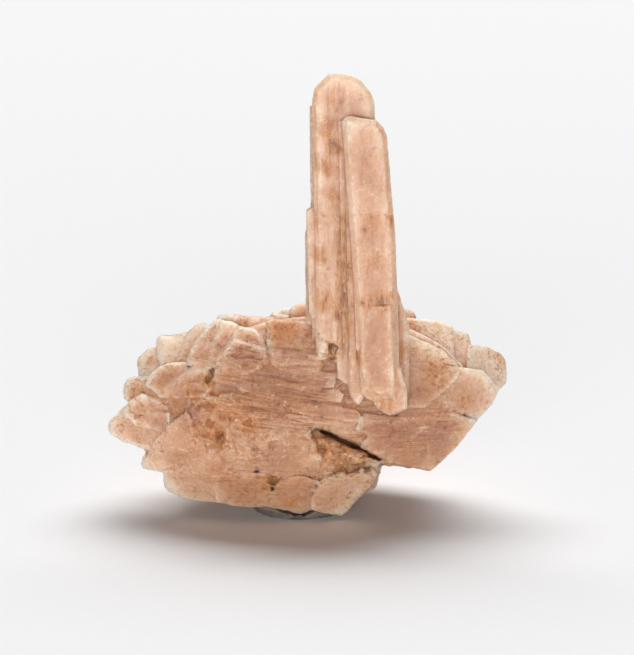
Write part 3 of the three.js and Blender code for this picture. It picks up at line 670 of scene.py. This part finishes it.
# %% List the patches
OCHRE = [
    (2.5, 36.4, 1.3, 1.2), (2.2, 38.4, 1.4, 0.5), (3.6, 28.0, 1.2, 1.0), (3.6, 25.2, 1.3, 1.1),
    (3.5, 22.8, 1.3, 1.1), (3.3, 20.2, 1.3, 1.0), (-8.6, 10.8, 3.2, 0.45), (-10.4, 8.6, 2.0, 0.5),
    (-2.6, 18.9, 2.6, 0.7), (-4.0, 19.0, 1.2, 0.8), (-17.2, 12.6, 1.6, 0.4), (-15.6, 15.6, 1.3, 0.35),
    (-9.9, 13.9, 1.2, 0.9), (-8.9, 8.4, 2.2, 0.7), (-5.6, 9.6, 1.8, 0.6), (-6.9, 11.6, 1.6, 0.45),
    (-3.6, 3.4, 1.8, 0.8), (-1.8, 1.8, 1.6, 0.45), (3.4, 5.9, 2.6, 0.9), (1.6, 7.2, 1.8, 0.8),
    (5.0, 5.4, 1.8, 0.8), (2.8, 17.0, 1.8, 1.0), (3.8, 19.0, 1.6, 0.8), (3.6, 21.4, 1.7, 0.9),
    (3.7, 24.0, 1.5, 0.9), (3.5, 26.5, 1.5, 0.8), (3.4, 29.5, 1.5, 0.8), (2.6, 31.6, 1.3, 0.6),
    (2.2, 34.6, 1.6, 0.5), (1.8, 38.0, 1.6, 0.5), (3.0, 41.0, 1.6, 0.25), (1.2, 26.0, 1.6, 0.5),
    (1.4, 21.6, 1.6, 0.7), (7.2, 21.6, 1.8, 0.8), (5.8, 21.4, 1.2, 0.8), (7.2, 11.6, 1.6, 0.6),
    (6.4, 29.0, 1.6, 0.5), (8.0, 29.3, 1.0, 0.6), (6.6, 25.6, 1.8, 0.4), (5.0, 16.0, 1.6, 0.5),
    (12.6, 14.6, 2.4, 0.5), (15.4, 11.8, 1.8, 0.45), (9.6, 16.8, 1.8, 0.6), (10.2, 19.2, 1.4, 0.5),
    (-13.4, 5.2, 1.6, 0.3), (-12.9, 11.0, 1.6, 0.5), (-11.6, 12.9, 1.4, 0.6),
    (-7.8, 14.4, 1.6, 0.4), (-6.4, 19.9, 1.2, 0.6), (0.6, 18.6, 1.4, 0.5),
]
MAUVE = [
    (-3.4, 12.6, 4.6, 0.6), (2.4, 12.4, 3.8, 0.65), (8.6, 9.4, 4.2, 0.85), (-2.6, 6.4, 3.6, 0.6),
    (-5.2, 16.6, 2.6, 0.5), (12.4, 8.2, 3.8, 0.7), (-13.6, 13.8, 2.2, 0.45), (-11.4, 11.6, 3.4, 0.85),
    (-7.6, 13.0, 2.6, 0.6), (11.2, 12.6, 2.8, 0.6), (-8.8, 8.6, 3.0, 0.7),
    (-12.6, 5.6, 2.4, 0.35), (-6.8, 3.0, 3.0, 0.4), (-14.6, 9.4, 2.0, 0.4), (10.6, 15.0, 2.6, 0.4),
]
MILK = [
    (18.2, 14.4, 2.6, 0.9), (4.6, 2.2, 2.4, 0.8), (12.6, 18.4, 2.2, 0.5), (1.2, 40.0, 1.2, 0.6),
    (1.0, 36.6, 1.2, 0.7), (1.1, 33.4, 1.2, 0.8), (1.1, 30.6, 1.2, 0.8), (0.9, 27.6, 1.2, 0.6),
    (1.0, 24.6, 1.2, 0.6), (1.0, 21.8, 1.2, 0.6), (5.6, 43.2, 1.6, 0.6), (3.0, 34.9, 0.9, 0.8),
    (8.0, 14.6, 1.0, 0.6), (-17.2, 15.8, 1.8, 0.5), (-16.6, 5.6, 1.6, 0.4),
]
# The first four spots paint shade into the cleft; the rest are brown spots on the stone.
BROWN_SPOTS_AND_CLEFT_SHADE = [
    (1.6, 8.3, 0.9, 0.9), (3.2, 7.6, 0.9, 0.9), (4.8, 6.9, 0.9, 0.9), (6.2, 6.3, 0.8, 0.9),
    (3.2, 40.8, 0.3, 0.8), (2.8, 40.0, 0.25, 0.9),
    (5.1, 40.9, 0.3, 0.6), (5.5, 28.5, 0.4, 1.0), (3.8, 29.0, 0.35, 0.8), (6.4, 36.2, 0.25, 1.0),
    (1.7, 25.6, 0.3, 0.7), (2.0, 24.8, 0.3, 0.7), (3.9, 25.0, 0.5, 0.8), (3.8, 22.6, 0.6, 0.8),
    (3.9, 20.6, 0.5, 0.7), (2.7, 17.2, 0.9, 0.9), (2.2, 16.0, 0.5, 0.9), (3.0, 30.6, 0.5, 0.5),
    (-9.9, 13.9, 0.6, 0.7), (-3.7, 3.6, 0.6, 0.7), (-8.7, 7.9, 0.8, 0.8), (-5.9, 9.2, 0.7, 0.5),
    (13.4, 15.2, 0.3, 0.8), (10.8, 13.0, 0.25, 0.7), (-16.8, 9.6, 0.3, 0.6), (-15.0, 9.8, 0.3, 0.5),
]
HIDDEN_PATCHES = 26
HIDDEN_FROM = 0.5
HIDDEN_SIZES, HIDDEN_AMOUNTS = (1.2, 3.6), (0.2, 0.7)
SPOT_SCALE = 0.25
PATCH_CORE, PATCH_END = 0.1, 1.15
PATCH_SEED = 19
RAY_BACK = 60

# %% Paint the patches


def place_seen(tree, across, up):
    """The place on the surface that is seen at a place in the picture, or None."""
    on_picture = TARGET + Vector((across * MM - TARGET.x, 0, 0)) + picture_up * up * MM
    return tree.ray_cast(on_picture - sight * RAY_BACK * MM, sight)[0]


def paint_patches(mesh):
    points = points_of(mesh)
    hidden = points[points[:, 1] > HIDDEN_FROM * MM]
    tree = ray_tree(mesh)
    random = np.random.default_rng(PATCH_SEED)
    painted = {}
    for name, patches in (("ochre", OCHRE), ("mauve", MAUVE), ("milk", MILK), ("spot", BROWN_SPOTS_AND_CLEFT_SHADE)):
        seen = [(place_seen(tree, x, h), radius, amount) for x, h, radius, amount in patches]
        centres = [(np.array(place), radius, amount) for place, radius, amount in seen if place is not None]
        scale = SPOT_SCALE if name == "spot" else 1.0
        for place in hidden[random.integers(0, len(hidden), HIDDEN_PATCHES)]:
            radius = scale * random.uniform(*HIDDEN_SIZES)
            centres.append((place, radius, random.uniform(*HIDDEN_AMOUNTS)))
        strength = np.zeros(len(points))
        for place, radius, amount in centres:
            distance = np.linalg.norm((points - place) / MM, axis=1)
            near = amount * (1 - smooth(distance, PATCH_CORE * radius, PATCH_END * radius))
            strength = np.maximum(strength, near)
        store(mesh, name, strength)
        painted[name] = len(centres)
    print("patches:", painted)


paint_patches(specimen.data)

# %% [markdown]
# A few cracks run across the prisms and through the broken patch. Each is a line of places seen from the
# front. The mesh keeps how near each point is to one, and the material turns that into a thin, broken line.

# %% Trace the cracks
CRACKS = [
    [(3.9, 29.6), (5.0, 30.1), (6.2, 29.7), (7.4, 29.9), (8.3, 29.4)],
    [(4.7, 34.7), (5.4, 33.8), (6.6, 33.1), (7.6, 31.8)],
    [(3.1, 21.9), (4.2, 21.2), (5.6, 21.6), (7.2, 21.9), (8.2, 21.2)],
    [(2.9, 44.2), (4.6, 42.8), (6.3, 41.9)],
    [(-11.8, 12.6), (-10.4, 12.2), (-9.2, 12.7), (-8.0, 12.1), (-6.6, 11.7), (-5.4, 10.6)],
    [(-9.5, 15.4), (-8.4, 16.6), (-6.9, 19.4)],
    [(9.2, 17.2), (11.0, 15.9), (12.6, 15.2), (13.2, 14.2), (12.8, 13.2)],
]
CRACK_REACH = 1.0


def distance_to_line(across, up, line):
    nearest = np.full(len(across), CRACK_REACH)
    for (x0, h0), (x1, h1) in zip(line, line[1:]):
        along = np.array([x1 - x0, h1 - h0])
        share = np.clip(((across - x0) * along[0] + (up - h0) * along[1]) / (along @ along), 0, 1)
        away = np.hypot(across - x0 - share * along[0], up - h0 - share * along[1])
        nearest = np.minimum(nearest, away)
    return nearest


def mark_cracks(mesh):
    points = points_of(mesh)
    across, up = picture_place(points)
    distance = np.min([distance_to_line(across, up, line) for line in CRACKS], axis=0)
    store(mesh, "crack", np.where(points[:, 1] < -2.0 * MM, 1 - distance / CRACK_REACH, 0.0))


mark_cracks(specimen.data)
print("cracks:", len(CRACKS))

# %% [markdown]
# ## Effects that more than one material uses
#
# Small specks lie on the stone and on the putty, and the same specks make the small painted glints on the
# stone, so they are a node group of their own, with inputs for how close they are and how large. The putty's
# fine grain is a group too, ready for any other matt surface. A group only puts out masks and heights. The
# shader itself stays in the material.

# %% Node groups for specks and grain
EMPTY_CELLS = 0.62


def new_group(name, inputs, outputs):
    group = bpy.data.node_groups.new(name, "ShaderNodeTree")
    for label, value in inputs:
        socket = group.interface.new_socket(label, in_out="INPUT", socket_type="NodeSocketFloat")
        socket.default_value = value
    for label in outputs:
        group.interface.new_socket(label, in_out="OUTPUT", socket_type="NodeSocketFloat")
    return group, add(group, "NodeGroupInput"), add(group, "NodeGroupOutput")


def object_place(tree, per_mm=(1, 1, 1), turn=(0, 0, 0)):
    """The place on the object, stretched and turned."""
    return stretched(tree, add(tree, "ShaderNodeTexCoord").outputs["Object"], per_mm, turn)


def speck_group():
    """Scattered specks: how many cells there are per millimetre, and how much of its cell one may fill."""
    inputs = (("Per Millimetre", 1.0), ("Share", 0.2), ("Soft", 0.1))
    group, start, end = new_group("specks", inputs, ("Mask",))
    inputs = {"Vector": object_place(group), "Scale": start.outputs["Per Millimetre"]}
    cell = add(group, "ShaderNodeTexVoronoi", inputs)
    keep = add(group, "ShaderNodeSeparateColor", {0: cell.outputs["Color"]}).outputs[0]
    reach = times(group, start.outputs["Share"], keep)
    outer = plus(group, reach, start.outputs["Soft"])
    mask = add(group, "ShaderNodeMapRange", {0: cell.outputs["Distance"], 1: reach, 2: outer, 3: 1.0, 4: 0.0})
    some = math_node(group, "GREATER_THAN", keep, EMPTY_CELLS)
    group.links.new(times(group, mask.outputs[0], some), end.inputs[0])
    return group


def grain_group():
    """The height of a fine uneven grain."""
    group, start, end = new_group("fine grain", (("Per Millimetre", 3.0), ("Roughness", 0.6)), ("Height",))
    inputs = {"Vector": object_place(group), "Scale": start.outputs["Per Millimetre"], "Detail": 4.0}
    inputs["Roughness"] = start.outputs["Roughness"]
    grain = add(group, "ShaderNodeTexNoise", inputs)
    group.links.new(grain.outputs[0], end.inputs[0])
    return group


def group_value(tree, shared, **values):
    """What a node group puts out, with its inputs given by their names."""
    inputs = {name.replace("_", " "): value for name, value in values.items()}
    return add(tree, "ShaderNodeGroup", inputs, node_tree=shared).outputs[0]


SPECKS = speck_group()
GRAIN = grain_group()
print("node groups:", [g.name for g in bpy.data.node_groups])

# %% Helpers for materials


def new_material(name):
    material = bpy.data.materials.new(name)
    material.use_nodes = True
    material.node_tree.nodes.clear()
    return material, material.node_tree


def wire_shader(tree, inputs, **settings):
    shader = add(tree, "ShaderNodeBsdfPrincipled", inputs, **settings)
    add(tree, "ShaderNodeOutputMaterial", {"Surface": shader.outputs[0]})


def noise_value(tree, per_mm, detail, rough, distortion=0.0, turn=(0, 0, 0)):
    inputs = {"Vector": object_place(tree, per_mm, turn), "Scale": 1.0, "Detail": detail}
    inputs.update({"Roughness": rough, "Distortion": distortion})
    return add(tree, "ShaderNodeTexNoise", inputs).outputs[0]


def linear(r, g, b):
    """A colour as a picture program shows it, 0 to 255, in the linear values that shaders use."""

    def one(value):
        value /= 255
        return value / 12.92 if value <= 0.04045 else ((value + 0.055) / 1.055) ** 2.4

    return (one(r), one(g), one(b), 1.0)


# %% [markdown]
# ## The stone
#
# The colour goes from pale where the stone is thin to a deeper pink where it is thick, which paints the light
# that shines through thin stone. Mauve and ochre patches are broken up by noise so that they have ragged
# edges. Outer edges are painted paler, as painted highlights and as light shining through them, and seams and
# grooves are browner, as stains and as painted shade. Light enters the stone and comes out again a little
# further on, which the
# Principled shader calls subsurface. The colour is built in layers, one function for each.

# %% Name the stone's colours
# The palest colour: painted light where it shines through thin stone; it also draws pale lines and feathers.
STONE_CLEAR = linear(240, 219, 200)
STONE_PALE = linear(234, 201, 176)
STONE_PEACH = linear(221, 178, 149)
STONE_DEEP = linear(205, 156, 124)
STONE_MAUVE = linear(181, 131, 105)
STONE_STREAK = linear(158, 98, 58)
STONE_OCHRE = linear(202, 138, 76)
STONE_BROWN = linear(132, 74, 28)
# White for wisps, and for painted highlights and glints.
STONE_WHITE_AND_HIGHLIGHT = linear(250, 232, 214)
# Painted light, seen through the thin outer edges.
STONE_LIGHT_THROUGH_EDGE = linear(232, 214, 202)
STONE_DENSE = (0.84, 0.74, 0.62, 1)
STONE_LOOSE = (1.04, 1.07, 1.1, 1)

# %% Read the marks of the mesh and make the shared noises
MEASURED = "thin hollow middle upright grooved ridge groove rim tone edge seam".split()
PAINTED = "milk mauve ochre spot crack".split()


def stone_marks(tree):
    marks = {}
    for name in MEASURED + PAINTED:
        marks[name] = add(tree, "ShaderNodeAttribute", attribute_name=name).outputs["Fac"]
    return marks


def stone_noises(tree, mark):
    """From broad clouds to sugary grain. The grit is drawn out into streaks on the upright prisms."""
    grit = noise_value(tree, (2.3, 2.3, 2.6), 6.0, 0.72, 0.4)
    streaks = noise_value(tree, (2.2, 2.2, 0.45), 6.0, 0.7, 0.3)
    return {
        "clouds": noise_value(tree, (0.26, 0.26, 0.3), 4.0, 0.62),
        "veins": noise_value(tree, (1.2, 1.2, 1.2), 5.0, 0.66, 0.9),
        "sugar": noise_value(tree, (4.5, 4.5, 4.5), 4.0, 0.7),
        "grit": mix_value(tree, mark["upright"], grit, streaks),
        "lines_up": noise_value(tree, (1.9, 1.9, 0.13), 5.0, 0.6),
        "lines_across": noise_value(tree, (0.22, 0.6, 4.6), 4.0, 0.7, turn=DIP),
    }


# %% Colour the body of the stone
DEPTH_OF_THICK = 1.1
# The rim is painted paler, as light shines through its thin crystals; milky patches are paler in colour.
PALER = {"rim": 0.38, "upright": -0.05, "milk": 0.45}
VARIED = {"clouds": 0.8, "veins": 0.5}
TONE_VARIES = 0.42
DEPTH_STEPS = (
    (0.2, 0.5, 1.0, STONE_PALE),
    (0.42, 0.78, 1.0, STONE_PEACH),
    (0.75, 1.15, 0.9, STONE_DEEP),
)


def body_colour(tree, mark, noise):
    """Thin stone, the rim and outer edges are painted pale, as light shines through them, and thick stone
    deep, with soft clouds in between, painted light at the thin edges, and mauve.
    """
    crisp = largest(tree, mark["rim"], mark["upright"])
    # Painted highlight: paler near outer edges, more at the rim and on the prisms.
    lit_edge = times(tree, mark["edge"], mark["edge"], plus(tree, 0.05, times(tree, crisp, 0.2)))
    paler = [times(tree, mark[name], amount) for name, amount in PALER.items()]
    varied = [signed(tree, noise[name], amount) for name, amount in VARIED.items()]
    # Painted light: thin stone, the rim and the outer edges come out paler, as light shines through them.
    depth = minus(tree, DEPTH_OF_THICK, mark["thin"], lit_edge, *paler)
    depth = plus(tree, depth, *varied, signed(tree, mark["tone"], TONE_VARIES))
    colour = STONE_CLEAR
    for low, high, most, deeper in DEPTH_STEPS:
        colour = mix_colour(tree, band(tree, depth, low, high, 0.0, most), colour, deeper)
    # Painted light: the thin outer edges of the rim and prisms are painted pale, as light shows through them.
    light_through_edge = times(tree, band(tree, mark["edge"], 0.6, 0.95), band(tree, noise["veins"], 0.3, 0.6, 0.15, 0.5))
    light_through_edge = times(tree, light_through_edge, largest(tree, mark["rim"], times(tree, mark["upright"], 0.5)))
    colour = mix_colour(tree, light_through_edge, colour, STONE_LIGHT_THROUGH_EDGE)
    mauve = times(tree, mark["mauve"], plus(tree, signed(tree, noise["veins"], 2.2), 1.0))
    return mix_colour(tree, band(tree, mauve, 0.05, 0.95, 0.0, 0.8), colour, STONE_MAUVE)


# %% Draw the grooves


def draw_grooves(tree, mark, noise, colour):
    """Grooves show as fine darker and paler lines, across the middle and up the prisms."""
    across, up = noise["lines_across"], noise["lines_up"]
    dark_across = times(tree, band(tree, across, 0.5, 0.66), mark["middle"])
    dark_up = times(tree, band(tree, up, 0.54, 0.74), mark["grooved"], 0.5)
    clouds = band(tree, noise["clouds"], 0.35, 0.6, 0.4, 0.85)
    colour = mix_colour(tree, times(tree, largest(tree, dark_across, dark_up), clouds), colour, STONE_STREAK)
    pale_across = times(tree, band(tree, across, 0.46, 0.32), mark["middle"], 0.4)
    pale_up = times(tree, band(tree, up, 0.47, 0.33), mark["grooved"])
    return mix_colour(tree, times(tree, largest(tree, pale_across, pale_up), 0.5), colour, STONE_CLEAR)


# %% Draw the stains and the painted shade in hollows
SOFTER_UPRIGHT = 0.6
# Ochre, then brown, for stains and for painted shade in hollows.
STAIN_AND_SHADE_STEPS = ((0.1, 0.6, 0.6, STONE_OCHRE), (0.6, 1.1, 0.6, STONE_BROWN))


def stain_and_shade_strength(tree, mark, noise):
    """Strong in the ochre patches and wherever the stone is hollow, where it stands for stains and painted
    shade, and crumbled by the grit.
    """
    coarser = plus(tree, 1.0, times(tree, mark["upright"], 0.6))
    crumbly = plus(tree, times(tree, signed(tree, noise["grit"], 3.2), coarser), 1.0)
    # Hollows add painted shade as well as stains.
    return plus(tree, times(tree, mark["ochre"], crumbly), times(tree, mark["hollow"], crumbly, 0.55))


def softer_upright(tree, mark):
    return minus(tree, 1.0, times(tree, mark["upright"], SOFTER_UPRIGHT))


def draw_stains_and_shade(tree, mark, noise, stain_and_shade, colour):
    """Ochre with brown at its heart, in hollows also painted shade, a brown mottle in the clouds, and the
    traced brown spots, some of which paint shade into the cleft.
    """
    for low, high, most, stained in STAIN_AND_SHADE_STEPS:
        colour = mix_colour(tree, band(tree, stain_and_shade, low, high, 0.0, most), colour, stained)
    clouds = band(tree, noise["clouds"], 0.38, 0.6, 0.25, 0.7)
    mottle = times(tree, band(tree, noise["grit"], 0.5, 0.66), clouds, softer_upright(tree, mark))
    colour = mix_colour(tree, mottle, colour, STONE_STREAK)
    # Brown spots, with painted shade in the cleft.
    heart = times(tree, mark["spot"], band(tree, noise["sugar"], 0.3, 0.6, 0.5, 1.0), 0.85)
    return mix_colour(tree, heart, colour, STONE_BROWN)


# %% Draw the cracks


def hairlines(tree, per_mm, width, turn=(0, 0, 0)):
    """Thin lines where a noise passes its middle value."""
    level = minus(tree, noise_value(tree, per_mm, 3.0, 0.55, 0.6, turn), 0.5)
    return band(tree, add(tree, "ShaderNodeMath", {0: level}, operation="ABSOLUTE").outputs[0], width, 0.0)


def draw_cracks(tree, mark, noise, colour):
    """Fine brown cracks, the traced ones, which are broken here and there, and pale feathers."""
    clouds, veins = noise["clouds"], noise["veins"]
    cracks = times(tree, hairlines(tree, (0.3, 0.3, 0.42), 0.01), band(tree, clouds, 0.42, 0.56, 0.0, 0.7))
    cracks = times(tree, cracks, softer_upright(tree, mark))
    colour = mix_colour(tree, cracks, colour, STONE_STREAK)
    wobble = plus(tree, mark["crack"], signed(tree, noise["grit"], 0.7))
    broken = times(tree, band(tree, wobble, 0.86, 1.0), band(tree, veins, 0.44, 0.58, 0.1, 0.5))
    colour = mix_colour(tree, broken, colour, STONE_STREAK)
    feathers = hairlines(tree, (0.5, 0.5, 0.34), 0.014, (0.4, 0.9, 0.2))
    feathers = times(tree, feathers, band(tree, clouds, 0.58, 0.44, 0.0, 0.45))
    return mix_colour(tree, feathers, colour, STONE_CLEAR)


# %% Darken the hollows


def draw_hollows(tree, mark, noise, stain_and_shade, colour):
    """Brown specks in the stains, and ochre in seams and grooves and brown at the bottom of hollows, which
    are stains and painted shade.
    """
    veins = noise["veins"]
    specks = group_value(tree, SPECKS, Per_Millimetre=1.3, Share=0.16, Soft=0.1)
    specks = times(tree, specks, band(tree, stain_and_shade, 0.05, 0.6, 0.06, 0.5))
    colour = mix_colour(tree, specks, colour, STONE_BROWN)
    # Seams and grooves: ochre stains, and painted shade.
    in_seam = times(tree, band(tree, mark["seam"], 0.82, 1.0), band(tree, veins, 0.36, 0.6, 0.05, 0.4))
    in_groove = times(tree, mark["groove"], band(tree, veins, 0.4, 0.62, 0.1, 0.5))
    colour = mix_colour(tree, largest(tree, in_seam, in_groove), colour, STONE_OCHRE)
    # Hollows: brown stains, and painted shade.
    return mix_colour(tree, band(tree, mark["hollow"], 0.5, 0.9, 0.0, 0.75), colour, STONE_BROWN)


# %% Add the white wisps, the painted highlights and glints, and the grain


def draw_wisps_and_highlights(tree, mark, noise, colour):
    """White wisps, small white specks as painted glints, and painted highlights on edges and raised points
    that catch the light here and there.
    """
    sugar, veins = noise["sugar"], noise["veins"]
    # Painted glints: small white specks here and there.
    painted_glints = group_value(tree, SPECKS, Per_Millimetre=2.4, Share=0.2, Soft=0.08)
    painted_glints = times(tree, painted_glints, band(tree, veins, 0.5, 0.62, 0.0, 0.5))
    wisps = times(tree, band(tree, sugar, 0.6, 0.74), band(tree, veins, 0.54, 0.7, 0.0, 0.2))
    # Painted highlights on outer edges and raised points.
    line = times(tree, band(tree, mark["edge"], 0.93, 1.0), band(tree, veins, 0.46, 0.64, 0.0, 0.4))
    ridge_highlights = times(tree, mark["ridge"], band(tree, sugar, 0.45, 0.65, 0.0, 0.2))
    return mix_colour(tree, largest(tree, line, ridge_highlights, painted_glints, wisps), colour, STONE_WHITE_AND_HIGHLIGHT)


def shade_grain(tree, noise, colour):
    """Dense grains are darker and warmer, loose ones lighter and cooler."""
    sugar = times(tree, band(tree, noise["sugar"], 0.3, 0.7), 0.4)
    loose = plus(tree, sugar, times(tree, band(tree, noise["veins"], 0.34, 0.64), 0.6))
    shade = mix_colour(tree, loose, STONE_DENSE, STONE_LOOSE)
    return mix_colour(tree, 1.0, colour, shade, "MULTIPLY")


# %% Make the crystal material
STONE_ROUGHNESS = (0.26, 0.44)
ROUGHER_UPRIGHT = 0.08
STONE_IOR = 1.63
STONE_SPECULAR = 0.28
LIGHT_REACH = 3.0 * MM
LIGHT_REACH_BY_COLOUR = (1.0, 0.8, 0.64)
BUMP_STRENGTH = 0.8
BUMP_HEIGHT = 0.16 * MM
BUMP_CALM = 0.6


def stone_bump(tree, mark, noise):
    """The finest relief, calmer at the rim and on the upright prisms."""
    height = plus(
        tree,
        times(tree, noise["lines_up"], mark["grooved"], 1.2),
        times(tree, noise["lines_across"], mark["middle"], 1.6),
        times(tree, noise["sugar"], 0.16),
        times(tree, noise["veins"], 0.5),
        times(tree, noise["grit"], 0.4),
    )
    calm = times(tree, largest(tree, mark["rim"], mark["upright"]), BUMP_CALM)
    inputs = {"Strength": BUMP_STRENGTH, "Distance": BUMP_HEIGHT}
    inputs["Height"] = times(tree, height, minus(tree, 1.0, calm))
    return add(tree, "ShaderNodeBump", inputs).outputs[0]


def crystal_material():
    material, tree = new_material("schizolite_stone")
    mark = stone_marks(tree)
    noise = stone_noises(tree, mark)
    stain_and_shade = stain_and_shade_strength(tree, mark, noise)
    colour = body_colour(tree, mark, noise)
    colour = draw_grooves(tree, mark, noise, colour)
    colour = draw_stains_and_shade(tree, mark, noise, stain_and_shade, colour)
    colour = draw_cracks(tree, mark, noise, colour)
    colour = draw_hollows(tree, mark, noise, stain_and_shade, colour)
    colour = draw_wisps_and_highlights(tree, mark, noise, colour)
    colour = shade_grain(tree, noise, colour)
    rough = band(tree, noise["sugar"], 0.3, 0.7, *STONE_ROUGHNESS)
    inputs = {
        "Base Color": colour,
        "Roughness": plus(tree, rough, times(tree, mark["upright"], ROUGHER_UPRIGHT)),
        "IOR": STONE_IOR,
        "Specular IOR Level": STONE_SPECULAR,
        "Subsurface Weight": 1.0,
        "Subsurface Radius": LIGHT_REACH_BY_COLOUR,
        "Subsurface Scale": LIGHT_REACH,
        "Normal": stone_bump(tree, mark, noise),
    }
    wire_shader(tree, inputs, subsurface_method="RANDOM_WALK")
    print("stone material:", len(tree.nodes), "nodes")
    return material


specimen.data.materials.append(crystal_material())
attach(specimen, "root")
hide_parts("schizolite_crystals")

# %% [markdown]
# ## The putty
#
# The pad is a ball of mineral putty pressed flat by hand. Its solid is a turned shape, so it is remeshed
# with the Voxel mode, which rounds it, and dented a little with noise. Its underside stays flat on the
# surface.

# %% Make the putty pad
PUTTY_VOXEL = 0.22
DENT_SIZE = 1.7
DENT_DEPTH = 0.16

putty = merged_copy("putty_pad", "mounting_putty")
soft = putty.modifiers.new("even grid", "REMESH")
soft.mode = "VOXEL"
soft.voxel_size = PUTTY_VOXEL * MM
dents = putty.modifiers.new("dents", "DISPLACE")
texture = bpy.data.textures.new("dents", "CLOUDS")
texture.noise_scale = DENT_SIZE * MM
dents.texture = texture
dents.strength = DENT_DEPTH * MM
dents.mid_level = 0.5
bake_modifiers(putty)
hold_to_box(putty.data, "putty_pad")
putty.data.shade_smooth()

# %% Make the putty material
PUTTY_DARK = linear(92, 82, 74)
PUTTY_LIGHT = linear(132, 121, 111)
PUTTY_SPECK = linear(176, 160, 144)
PUTTY_ROUGHNESS = (0.5, 0.72)


def putty_material():
    material, tree = new_material("grey_putty")
    smears = noise_value(tree, (0.5, 0.5, 0.9), 4.0, 0.6, 0.5)
    colour = mix_colour(tree, band(tree, smears, 0.3, 0.7), PUTTY_DARK, PUTTY_LIGHT)
    grit = group_value(tree, SPECKS, Per_Millimetre=2.2, Share=0.18, Soft=0.08)
    colour = mix_colour(tree, times(tree, grit, 0.5), colour, PUTTY_SPECK)
    grain = group_value(tree, GRAIN, Per_Millimetre=2.6, Roughness=0.6)
    bump = add(tree, "ShaderNodeBump", {"Strength": 0.5, "Distance": 0.1 * MM, "Height": grain}).outputs[0]
    rough = band(tree, grain, 0.3, 0.7, *PUTTY_ROUGHNESS)
    wire_shader(tree, {"Base Color": colour, "Roughness": rough, "Normal": bump})
    return material


putty.data.materials.append(putty_material())
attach(putty, "root")
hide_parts("putty_pad")
print("putty mesh:", len(putty.data.polygons), "faces")

# %% [markdown]
# ## Floor and light
#
# The specimen stands on a pale, even surface. A broad soft light hangs above and well behind it, so that its
# shadow is soft and falls towards the viewer. One light would leave the front of the sheaf too dark, and a
# strong second one would cast a second shadow, so a low, dim light fills the front.

# %% Lay the floor
FLOOR_SIZE = 4.0
FLOOR_DARK = linear(236, 236, 237)
FLOOR_LIGHT = linear(240, 240, 241)
FLOOR_ROUGHNESS = 0.85

half = FLOOR_SIZE / 2
corners = [(-half, -half, 0), (half, -half, 0), (half, half, 0), (-half, half, 0)]
floor_mesh = bpy.data.meshes.new("floor")
floor_mesh.from_pydata(corners, [], [(0, 1, 2, 3)])
floor = put_in_scene("floor", floor_mesh)


def floor_material():
    material, tree = new_material("pale_card")
    tooth = noise_value(tree, (0.8, 0.8, 0.8), 3.0, 0.6)
    colour = mix_colour(tree, tooth, FLOOR_DARK, FLOOR_LIGHT)
    wire_shader(tree, {"Base Color": colour, "Roughness": FLOOR_ROUGHNESS})
    return material


floor_mesh.materials.append(floor_material())
print("floor:", FLOOR_SIZE, "m square")

# %% Hang the lights
LIT_PLACE = Vector((0, 0, 0.015))
SURROUNDINGS = 0.06


def area_light(name, place, width, depth, power):
    data = bpy.data.lights.new(name, "AREA")
    data.shape = "ELLIPSE"
    data.size = width
    data.size_y = depth
    data.energy = power
    light = put_in_scene(name, data)
    light.location = place
    light.rotation_euler = (LIT_PLACE - Vector(place)).to_track_quat("-Z", "Y").to_euler()


area_light("overhead", (0.1, 0.96, 2.0), width=3.2, depth=1.2, power=62)
area_light("front_fill", (-0.08, -0.92, 0.12), width=0.9, depth=0.22, power=6.4)
world = bpy.data.worlds.new("pale room")
world.use_nodes = True
world.node_tree.nodes["Background"].inputs["Color"].default_value = (1, 1, 1, 1)
world.node_tree.nodes["Background"].inputs["Strength"].default_value = SURROUNDINGS
bpy.context.scene.world = world
bpy.context.scene.view_settings.view_transform = "Standard"
print("lights:", [light.name for light in bpy.data.lights])
